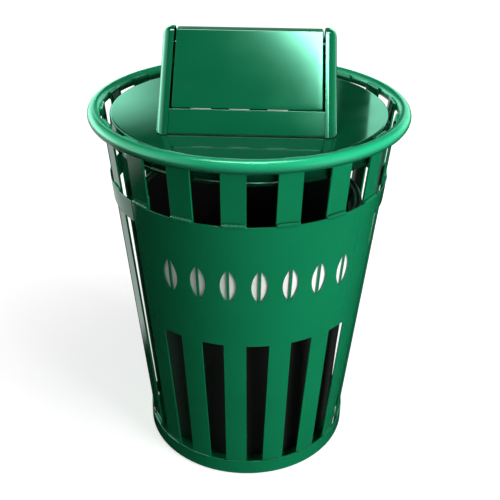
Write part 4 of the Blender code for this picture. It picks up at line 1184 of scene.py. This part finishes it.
def make_swing_flap(bend, ridge_radius):
    """Swing flap: a tent-shaped pan. Each grid point has a fold step across and one along.

    The larger step gives reach and depth, and their ratio the direction, so that corners are round.
    """
    reach, depth = fold_steps(bend, FLAP_FLANGE)
    steps = len(reach) - 1
    inner = FLAP_HALF_WIDTH - bend
    x_base = np.pad(np.linspace(-inner, inner, 25), steps, "edge")[:, None]
    fold_s = np.arange(1, steps + 1)
    fold_x = np.concatenate([fold_s[::-1], np.zeros(25, int), fold_s])[:, None]
    sign = np.sign(x_base) * (fold_x > 0)
    larger = np.maximum(fold_x, fold_s)
    direction = np.arctan2(fold_s, fold_x)
    along = DOOR_LENGTH - bend
    body = tent_half(depth[fold_x[:, 0]], ridge_radius, lambda inset: slope_point(along, inset), (4, 9, 16))
    ends = slope_point(along + reach[larger] * np.sin(direction), depth[larger])
    view = both_halves(np.concatenate([body, ends], 1))
    x_body = np.repeat(x_base + sign * reach[fold_x], body.shape[1], 1)
    x = np.concatenate([x_body, x_base + sign * reach[larger] * np.cos(direction)], 1)
    points = stacked(np.concatenate([x[:, ::-1], x[:, 1:]], 1), view[..., 0], view[..., 1])
    flap = new_piece("flap_door", [patch(points)], "flap", "green_powder_coat", ["swing_flap"], 60.0)
    face_along(flap, 2)
    wall(flap, FLAP_WALL, 0.0003)


def along_x(made, side, height=PIVOT_HEIGHT, offset=0.0):
    """A patch turned from Z to +X or -X and put at a height and distance from the middle plane."""
    return placed(made, (0.0, offset, height), [(0, side, 0), (0, 0, 1), (side, 0, 0)])


def tube_outline(inner, outer, start, end):
    """A plain tube's outline, (radius, height)."""
    return [(inner, end), (outer, end), (outer, start), (inner, start)]


def make_pivot():
    """Rod, sleeve, sockets, bushings and spacers: turned profiles with broken edges."""
    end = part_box("pivot_rod")[1].x
    corners = [(0.0, -end), (ROD_RADIUS, -end), (ROD_RADIUS, end), (0.0, end)]
    rod = rounded_path(corners, [0, 0.0008, 0.0008, 0], 3)
    new_piece("hinge_rod", [along_x(turned(rod, 40, False), 1)], "lid", "zinc_plated_steel", ["pivot_rod"])
    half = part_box("flap_sleeve")[1].x
    outline = tube_outline(SLEEVE_BORE, SLEEVE_RADIUS, -half, half)
    sleeve = turned(rounded_path(outline, 0.0006, 3, True), 40)
    new_piece("hinge_sleeve", [along_x(sleeve, 1)], "flap", "green_powder_coat", ["flap_sleeve"])
    low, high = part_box("pivot_socket_right")
    bottom = high.x - SOCKET_END
    corners = [
        (0.0, high.x), (SOCKET_RADIUS, high.x), (SOCKET_RADIUS, low.x), (SOCKET_BORE, low.x),
        (SOCKET_BORE, bottom), (0.0, bottom),
    ]
    socket = turned(rounded_path(corners, [0, 0.0006, 0.0008, 0.0008, 0.0006, 0], 3), 40, False)
    low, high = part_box("bushing_right")
    collar = low.x + COLLAR_WALL
    corners = [
        (BUSHING_BORE, high.x), (BUSHING_RADIUS, high.x), (BUSHING_RADIUS, collar), (COLLAR_RADIUS, collar),
        (COLLAR_RADIUS, low.x), (BUSHING_BORE, low.x),
    ]
    bushing = turned(rounded_path(corners, 0.0004, 3, True), 40)
    low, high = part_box("spacer_right")
    outline = tube_outline(BUSHING_BORE, BUSHING_RADIUS, low.x, high.x)
    spacer = turned(rounded_path(outline, 0.0004, 3, True), 40)
    parts = (
        (socket, "rod_socket", "green_powder_coat", "pivot_socket"),
        (bushing, "rod_bushing", "natural_nylon", "bushing"),
        (spacer, "rod_spacer", "zinc_plated_steel", "spacer"),
    )
    for side, word in SIDES:
        for shape, name, slot, node in parts:
            new_piece(f"{name}_{word}", [along_x(shape, side)], "lid", slot, [f"{node}_{word}"])


def make_stops():
    """Push-in stops: body, stem and head of one turned profile."""
    head, stem_end = HOOD_HALF_WIDTH + TOUCH, HOOD_HALF_WIDTH - CHEEK_WALL - TOUCH
    for _, where in ENDS:
        for side, word in SIDES:
            node = f"flap_stop_{where}_{word}"
            low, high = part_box(node)
            middle = (low + high) / 2
            start, end = sorted((abs(low.x), abs(high.x)))
            corners = [
                (0.0, end), (STOP_HEAD, end), (STOP_HEAD, head), (STOP_STEM, head), (STOP_STEM, stem_end),
                (STOP_PAD, stem_end), (STOP_PAD, start), (0.0, start),
            ]
            line = rounded_path(corners, [0, 0.0018, 0.0003, 0.0002, 0.0002, 0.0006, 0.0025, 0], 5)
            shape = along_x(turned(line, 40, False), side, middle.z, middle.y)
            new_piece(f"rubber_stop_{where}_{word}", [shape], "lid", "black_rubber", [node])


def make_foot_shadow_strip(width, height):
    """Dark strip of painted shadow round the hood's foot: a small rounded section carried round the hood's footprint.

    The footprint's corner is a quarter ellipse, where the cheek's round edge meets the sloping foot.
    """
    foot, panel = base_foot(-CHEEK_PROUD)[0], base_foot(0.0)[0]
    long_axis = CHEEK_NOSE / math.sin(HOOD_SLOPE)
    turn = np.linspace(0, math.pi / 2, 16)
    corner_x = HOOD_HALF_WIDTH - CHEEK_NOSE + CHEEK_NOSE * np.sin(turn)
    corner_y = foot - long_axis * (1 - np.cos(turn))
    straight = np.append(np.linspace(0, CHEEK_INNER - 0.0004, 12), CHEEK_INNER + 0.0004)
    x = np.concatenate([straight, corner_x, [HOOD_HALF_WIDTH]])
    y = np.concatenate([np.full(12, panel), [foot], corner_y, [foot - long_axis - 0.08]])
    quarter = stacked(x, -y)
    right = np.concatenate([quarter, quarter[::-1] * [1, -1]])
    loop = np.concatenate([right, right[::-1][1:-1] * [-1, 1]])
    loop = loop[np.concatenate([[True], np.linalg.norm(np.diff(loop, axis=0), axis=1) > 1e-6])]
    tangent = np.roll(loop, -1, 0) - np.roll(loop, 1, 0)
    tangent /= np.linalg.norm(tangent, axis=1)[:, None]
    side = stacked(tangent[:, None, 1], -tangent[:, None, 0], 0.0)
    section = np.array([np.cos(circle(14)), np.sin(circle(14))])[..., None]
    section = np.sign(section) * np.abs(section) ** 0.6
    middle = stacked(loop[:, None, 0], loop[:, None, 1], LID_HIGH.z + height / 2)
    points = middle + section[0] * side * width / 2 + section[1] * UP * height / 2
    # painted shadow: a dark strip that stands in for the shadow gap where the hood's foot meets the lid
    new_piece("hood_foot_shadow_strip", [patch(points, True, True)], "lid", "black_rubber")


def make_light_dashes():
    """Pale pads on the lower panels' returns, painted light: they stand in for the bright dashes of light seen
    through the gap under the flap.
    """
    depth, height = slope_point(DOOR_LENGTH + FLAP_GAP - DASH_LIFT, DASH_DEPTH)
    for side, word in ENDS:
        down = (0.0, -side * math.sin(HOOD_SLOPE), -math.cos(HOOD_SLOPE))
        out = (0.0, side * math.cos(HOOD_SLOPE), -math.sin(HOOD_SLOPE))
        axes = np.array([down, out, (1.0, 0.0, 0.0)])
        paths = [straight_path(np.array([x, side * depth, height]), axes, DASH_SIZE[2]) for x in DASH_PLACES]
        dashes = [rounded_bar(DASH_SIZE, 0.0005, path, rows=1) for path in paths]
        new_piece(f"{word}_light_dashes", dashes, "lid", "natural_nylon")


# Stage

def stage_floor():
    """Pale floor: the camera sees it at least as bright as paper, and it keeps the shadow."""
    made, tree, shader = new_material("stage_floor", Roughness=0.9)
    shader.inputs["Base Color"].default_value = (0.86, 0.86, 0.86, 1.0)
    shader.inputs["Specular IOR Level"].default_value = 0.0
    shader.inputs["Emission Color"].default_value = (1.0, 1.0, 1.0, 1.0)
    light = tree.nodes.new("ShaderNodeLightPath")
    reach = tree.nodes.new("ShaderNodeVectorMath")
    reach.operation = "LENGTH"
    tree.links.new(object_place(tree), reach.inputs[0])
    floor_lift = bpy.context.scene.bin_stage.floor_lift
    lift = remap(tree, reach.outputs["Value"], 0.45, 1.5, floor_lift, 1.0)
    tree.links.new(sum_of(tree, "MULTIPLY", light.outputs["Is Camera Ray"], lift), shader.inputs["Emission Strength"])
    mesh = bpy.data.meshes.new("floor")
    side = np.linspace(-FLOOR_HALF, FLOOR_HALF, 3)
    points = stacked(side, side[:, None], 0.0)
    mesh.from_pydata(points.reshape(-1, 3).tolist(), [], grid_faces(3, 3).tolist())
    floor = bpy.data.objects.new("floor", mesh)
    bpy.context.scene.collection.objects.link(floor)
    mesh.materials.append(made)
    floor.visible_glossy = False


def area_light(name, place, target, side, power):
    """A square soft lamp that looks at a target and isn't mirrored."""
    data = bpy.data.lights.new(name, "AREA")
    data.shape = "RECTANGLE"
    data.size = data.size_y = side
    data.energy = power
    lamp = bpy.data.objects.new(name, data)
    look = (Vector(target) - Vector(place)).to_track_quat("-Z", "Y").to_matrix().to_4x4()
    lamp.matrix_world = Matrix.Translation(place) @ look
    bpy.context.scene.collection.objects.link(lamp)
    lamp.visible_glossy = False


def stage_world():
    """White to the camera, even grey to matt surfaces, and a room of bright walls to reflections.

    The room's parts: a soft box overhead that brightens by a fixed factor a degree up to its
    slanting edge, a tall wall at the left that brightens towards it, a duller one at the right, a
    low wall behind with a duller gap behind the object, a lamp above, a dull ceiling at the rear,
    and a pale ground at the rear left that ends in a dark floor.
    """
    stage = bpy.context.scene.bin_stage
    world = bpy.data.worlds.new("studio")
    bpy.context.scene.world = world
    world.use_nodes = True
    tree = world.node_tree
    back = tree.nodes["Background"]
    direction = tree.nodes.new("ShaderNodeSeparateXYZ")
    tree.links.new(tree.nodes.new("ShaderNodeTexCoord").outputs["Generated"], direction.inputs[0])
    x, y, z = (direction.outputs[axis] for axis in "XYZ")
    over = {
        "x": x, "y": y, "z": z, "azimuth": sum_of(tree, "ARCTAN2", x, y),
        "tilt": sum_of(tree, "MULTIPLY_ADD", y, GROUND_TILT, z),
    }

    def degrees(value):
        """The angle whose sine is the value."""
        return sum_of(tree, "MULTIPLY", sum_of(tree, "ARCSINE", value), math.degrees(1.0))

    def product(total, *factors):
        """One value times all the others."""
        for factor in factors:
            total = sum_of(tree, "MULTIPLY", total, factor)
        return total

    def part(name, *factors):
        """A part of the room: the product of its steps and of the factors given."""
        return product(*factors, *(
            remap(tree, over[axis], min(zero, one), max(zero, one), float(zero > one), float(zero < one))
            for axis, zero, one in ROOM[name]
        ))

    slant = sum_of(tree, "MULTIPLY_ADD", degrees(y), BOX_SLANT, degrees(x))
    steps = sum_of(tree, "MINIMUM", sum_of(tree, "SUBTRACT", slant, BOX_EDGE), 0.0)
    above = part("above")
    parts = (
        (part("box", sum_of(tree, "POWER", BOX_GAIN, steps)), stage.box_level),
        (part("left", ramp_linear(tree, x, *LEFT_WALL)), stage.left_level),
        (part("right"), stage.right_level),
        (part("rear", sum_of(tree, "MAXIMUM", part("behind"), part("panel", PANEL_LEVEL))), stage.rear_level),
        (part("ground"), stage.ground_level), (above, stage.above_level),
        (part("ceiling"), CEILING_LEVEL), (part("gap"), GAP_LEVEL),
    )
    gloss = stage.dim_level
    for share, level in parts:
        gloss = sum_of(tree, "MULTIPLY_ADD", share, level, gloss)
    light = tree.nodes.new("ShaderNodeLightPath")
    rest = sum_of(tree, "MULTIPLY", light.outputs["Is Diffuse Ray"], stage.ambient)
    seen = sum_of(tree, "MULTIPLY", light.outputs["Is Glossy Ray"], gloss)
    camera = sum_of(tree, "MAXIMUM", light.outputs["Is Camera Ray"], light.outputs["Is Transmission Ray"])
    tree.links.new(
        sum_of(tree, "ADD", sum_of(tree, "ADD", rest, seen), camera), back.inputs["Strength"]
    )
    tint = product(
        light.outputs["Is Glossy Ray"], remap(tree, z, -0.15, 0.1, 0.25, 1.0),
        sum_of(tree, "MULTIPLY_ADD", above, -0.6, 1.0),
    )
    tent = (*stage.tent_colour, 1.0)
    tree.links.new(mixed(tree, tint, (1.0, 1.0, 1.0, 1.0), tent), back.inputs["Color"])


def stage_camera():
    """Camera: yaw, pitch and roll as three turns of a camera that looks along +Y."""
    data = bpy.data.cameras.new("photo_camera")
    data.lens = CAMERA_LENS
    data.sensor_width = CAMERA_SENSOR
    camera = bpy.data.objects.new("photo_camera", data)
    yaw = Matrix.Rotation(CAMERA_YAW, 4, "Z")
    pitch = Matrix.Rotation(math.pi / 2 - CAMERA_DOWN, 4, "X")
    roll = Matrix.Rotation(CAMERA_ROLL, 4, "Z")
    camera.matrix_world = Matrix.Translation(CAMERA_PLACE) @ yaw @ pitch @ roll
    bpy.context.scene.collection.objects.link(camera)
    bpy.context.scene.camera = camera


# What a user can change

def length_property(name, description, default, low, high):
    """A setting in metres."""
    return bpy.props.FloatProperty(
        name=name, description=description, default=default, min=low, max=high, precision=5, unit="LENGTH"
    )


class BinSizes(bpy.types.PropertyGroup):
    """Sizes of the details"""
    bar_edge: length_property("Bar edge", "Radius of the edges of bars and hoops", 0.0009, 0.0002, 0.0015)
    flap_bend: length_property(
        "Flap bend", "Radius of the folds along the flap's sides and ends", 0.0026, 0.001, 0.006
    )
    ridge_radius: length_property(
        "Ridge radius", "Radius of the two bends at the flap's ridge", 0.006, 0.002, 0.02
    )
    # Sizes of the dark strip of painted shadow round the hood's foot
    shadow_strip_width: length_property("Shadow strip width", "Width of the seal round the hood's foot", 0.0030, 0.001, 0.006)
    shadow_strip_height: length_property(
        "Shadow strip height", "Height of the seal round the hood's foot", 0.0020, 0.001, 0.004
    )


def colour_property(name, description, default):
    """A setting for a colour."""
    return bpy.props.FloatVectorProperty(
        name=name, description=description, default=default, subtype="COLOR", size=3, min=0.0, max=1.0
    )


class BinColours(bpy.types.PropertyGroup):
    """Colours of the finishes"""
    green: colour_property("Green", "Powder coat of the body and lid", (0.0045, 0.195, 0.078))
    deep_green: colour_property("Deep green", "The same coat where it clouds", (0.0035, 0.160, 0.064))
    # painted light: the rim's greens are brighter copies of the body's green, so that the rim looks more strongly lit
    rim_green: colour_property("Rim green", "Brighter powder coat of the rim", (0.018, 0.620, 0.285))
    deep_rim_green: colour_property("Deep rim green", "The rim's coat where it clouds", (0.015, 0.550, 0.255))
    liner_black: colour_property("Liner black", "Moulded polyethylene", (0.016, 0.016, 0.015))
    backing_white: colour_property("Backing white", "Strip behind the cut-outs", (0.85, 0.85, 0.85))


def level_property(name, description, default):
    """A setting for a power or brightness."""
    return bpy.props.FloatProperty(name=name, description=description, default=default, min=0.0)


class BinStage(bpy.types.PropertyGroup):
    """Lights, and the brightness of what the paint mirrors"""
    key_power: level_property("Key lamp", "Power of the large lamp at the right, in watts", 118.0)
    top_power: level_property("Top lamp", "Power of the lamp above, in watts", 9.0)
    ambient: level_property("Ambient", "Even light from all round", 0.07)
    box_level: level_property("Overhead box", "Brightness of the overhead box in reflections", 32.0)
    left_level: level_property("Left wall", "Brightness of the left wall in reflections", 3.2)
    right_level: level_property("Right wall", "Brightness of the right wall in reflections", 0.45)
    rear_level: level_property("Rear wall", "Brightness of the rear wall in reflections", 2.3)
    ground_level: level_property("Ground", "Brightness of the ground at the left in reflections", 0.5)
    above_level: level_property("Lamp above", "Brightness of the lamp straight above in reflections", 11.0)
    dim_level: level_property("Dim surroundings", "Brightness of the rest in reflections", 0.006)
    floor_lift: level_property("Floor lift", "Brightness added to the floor for the camera", 0.70)
    tent_colour: colour_property("Tent colour", "Colour of what the paint mirrors", (0.32, 1.0, 0.70))


class BinOperator:
    """What the builders share: they can be undone and run in any order after the frame is loaded."""
    bl_options = {"REGISTER", "UNDO"}


class BIN_OT_rim(BinOperator, bpy.types.Operator):
    """Make the rim's bent tube and its seam"""
    bl_idname = "bin.rim"
    bl_label = "Rim"

    def execute(self, context):
        make_rim()
        return {"FINISHED"}


class BIN_OT_bars(BinOperator, bpy.types.Operator):
    """Make the flat bars"""
    bl_idname = "bin.bars"
    bl_label = "Bars"

    def execute(self, context):
        make_bars(context.scene.bin_sizes.bar_edge)
        return {"FINISHED"}


class BIN_OT_hoops(BinOperator, bpy.types.Operator):
    """Make the upper and the foot hoop"""
    bl_idname = "bin.hoops"
    bl_label = "Hoops"

    def execute(self, context):
        make_bands(context.scene.bin_sizes.bar_edge)
        return {"FINISHED"}


class BIN_OT_front_sheet(BinOperator, bpy.types.Operator):
    """Make the front sheet with its cut-outs, and the strip behind them"""
    bl_idname = "bin.front_sheet"
    bl_label = "Front sheet"

    def execute(self, context):
        make_front_sheet(context.scene.bin_sizes.bar_edge)
        make_backing()
        return {"FINISHED"}


class BIN_OT_welds(BinOperator, bpy.types.Operator):
    """Make the painted weld beads"""
    bl_idname = "bin.welds"
    bl_label = "Welds"

    def execute(self, context):
        make_welds()
        return {"FINISHED"}


class BIN_OT_foot(BinOperator, bpy.types.Operator):
    """Make the feet, their screws, the lid's brackets and the base plate's finish"""
    bl_idname = "bin.foot"
    bl_label = "Feet, brackets and base"

    def execute(self, context):
        make_feet()
        make_lugs()
        keep_node("base_plate", "green_powder_coat")
        return {"FINISHED"}


class BIN_OT_liner(BinOperator, bpy.types.Operator):
    """Make the rigid liner"""
    bl_idname = "bin.liner"
    bl_label = "Liner"

    def execute(self, context):
        make_liner()
        return {"FINISHED"}


class BIN_OT_lid(BinOperator, bpy.types.Operator):
    """Make the lid's disc"""
    bl_idname = "bin.lid"
    bl_label = "Lid disc"

    def execute(self, context):
        make_lid_disc()
        return {"FINISHED"}


class BIN_OT_hood(BinOperator, bpy.types.Operator):
    """Make the hood's cheeks and panels, the dark strip of painted shadow round its foot, and the pale dashes of
    painted light under the flap
    """
    bl_idname = "bin.hood"
    bl_label = "Hood"

    def execute(self, context):
        sizes = context.scene.bin_sizes
        make_cheeks()
        make_lower_panels()
        make_foot_shadow_strip(sizes.shadow_strip_width, sizes.shadow_strip_height)
        make_light_dashes()
        return {"FINISHED"}


class BIN_OT_flap(BinOperator, bpy.types.Operator):
    """Make the swing flap and the finish of its ears"""
    bl_idname = "bin.flap"
    bl_label = "Swing flap"

    def execute(self, context):
        sizes = context.scene.bin_sizes
        make_swing_flap(sizes.flap_bend, sizes.ridge_radius)
        keep_node("flap_ear_left", "green_powder_coat")
        keep_node("flap_ear_right", "green_powder_coat")
        return {"FINISHED"}


class BIN_OT_pivot(BinOperator, bpy.types.Operator):
    """Make the flap's rod, sleeve, sockets, bushings, spacers and stops"""
    bl_idname = "bin.pivot"
    bl_label = "Pivot and stops"

    def execute(self, context):
        make_pivot()
        make_stops()
        return {"FINISHED"}


class BIN_OT_stage(BinOperator, bpy.types.Operator):
    """Make the floor, lamps, world and camera"""
    bl_idname = "bin.stage"
    bl_label = "Stage"

    def execute(self, context):
        stage = context.scene.bin_stage
        stage_camera()
        stage_world()
        stage_floor()
        area_light("key_lamp", *KEY_LAMP, stage.key_power)
        area_light("top_lamp", *TOP_LAMP, stage.top_power)
        context.scene.view_settings.view_transform = "Standard"
        return {"FINISHED"}


BUILDERS = (
    BIN_OT_stage, BIN_OT_rim, BIN_OT_bars, BIN_OT_hoops, BIN_OT_front_sheet, BIN_OT_welds, BIN_OT_foot,
    BIN_OT_liner, BIN_OT_lid, BIN_OT_hood, BIN_OT_flap, BIN_OT_pivot,
)


class BIN_PT_sidebar(bpy.types.Panel):
    """Buttons and settings of the compost bin"""
    bl_idname = "BIN_PT_sidebar"
    bl_label = "Compost bin"
    bl_space_type = "VIEW_3D"
    bl_region_type = "UI"
    bl_category = "Compost bin"

    def draw(self, context):
        for builder in BUILDERS:
            self.layout.operator(builder.bl_idname)
        for group in (context.scene.bin_sizes, context.scene.bin_colours, context.scene.bin_stage):
            for label in group.bl_rna.properties.keys():
                if label not in ("rna_type", "name"):
                    self.layout.prop(group, label)


GROUPS = {"bin_sizes": BinSizes, "bin_colours": BinColours, "bin_stage": BinStage}


def register():
    """Registers the settings, the operators and the panel."""
    for cls in (*GROUPS.values(), *BUILDERS, BIN_PT_sidebar):
        bpy.utils.register_class(cls)
    for label, group in GROUPS.items():
        setattr(bpy.types.Scene, label, bpy.props.PointerProperty(type=group))


def unregister():
    """Takes back all that register added."""
    for label in GROUPS:
        delattr(bpy.types.Scene, label)
    for cls in (BIN_PT_sidebar, *reversed(BUILDERS), *reversed(GROUPS.values())):
        bpy.utils.unregister_class(cls)


def main():
    """Runs the operators in order."""
    register()
    for builder in BUILDERS:
        group, name = builder.bl_idname.split(".")
        getattr(getattr(bpy.ops, group), name)()


if __name__ == "__main__":
    main()
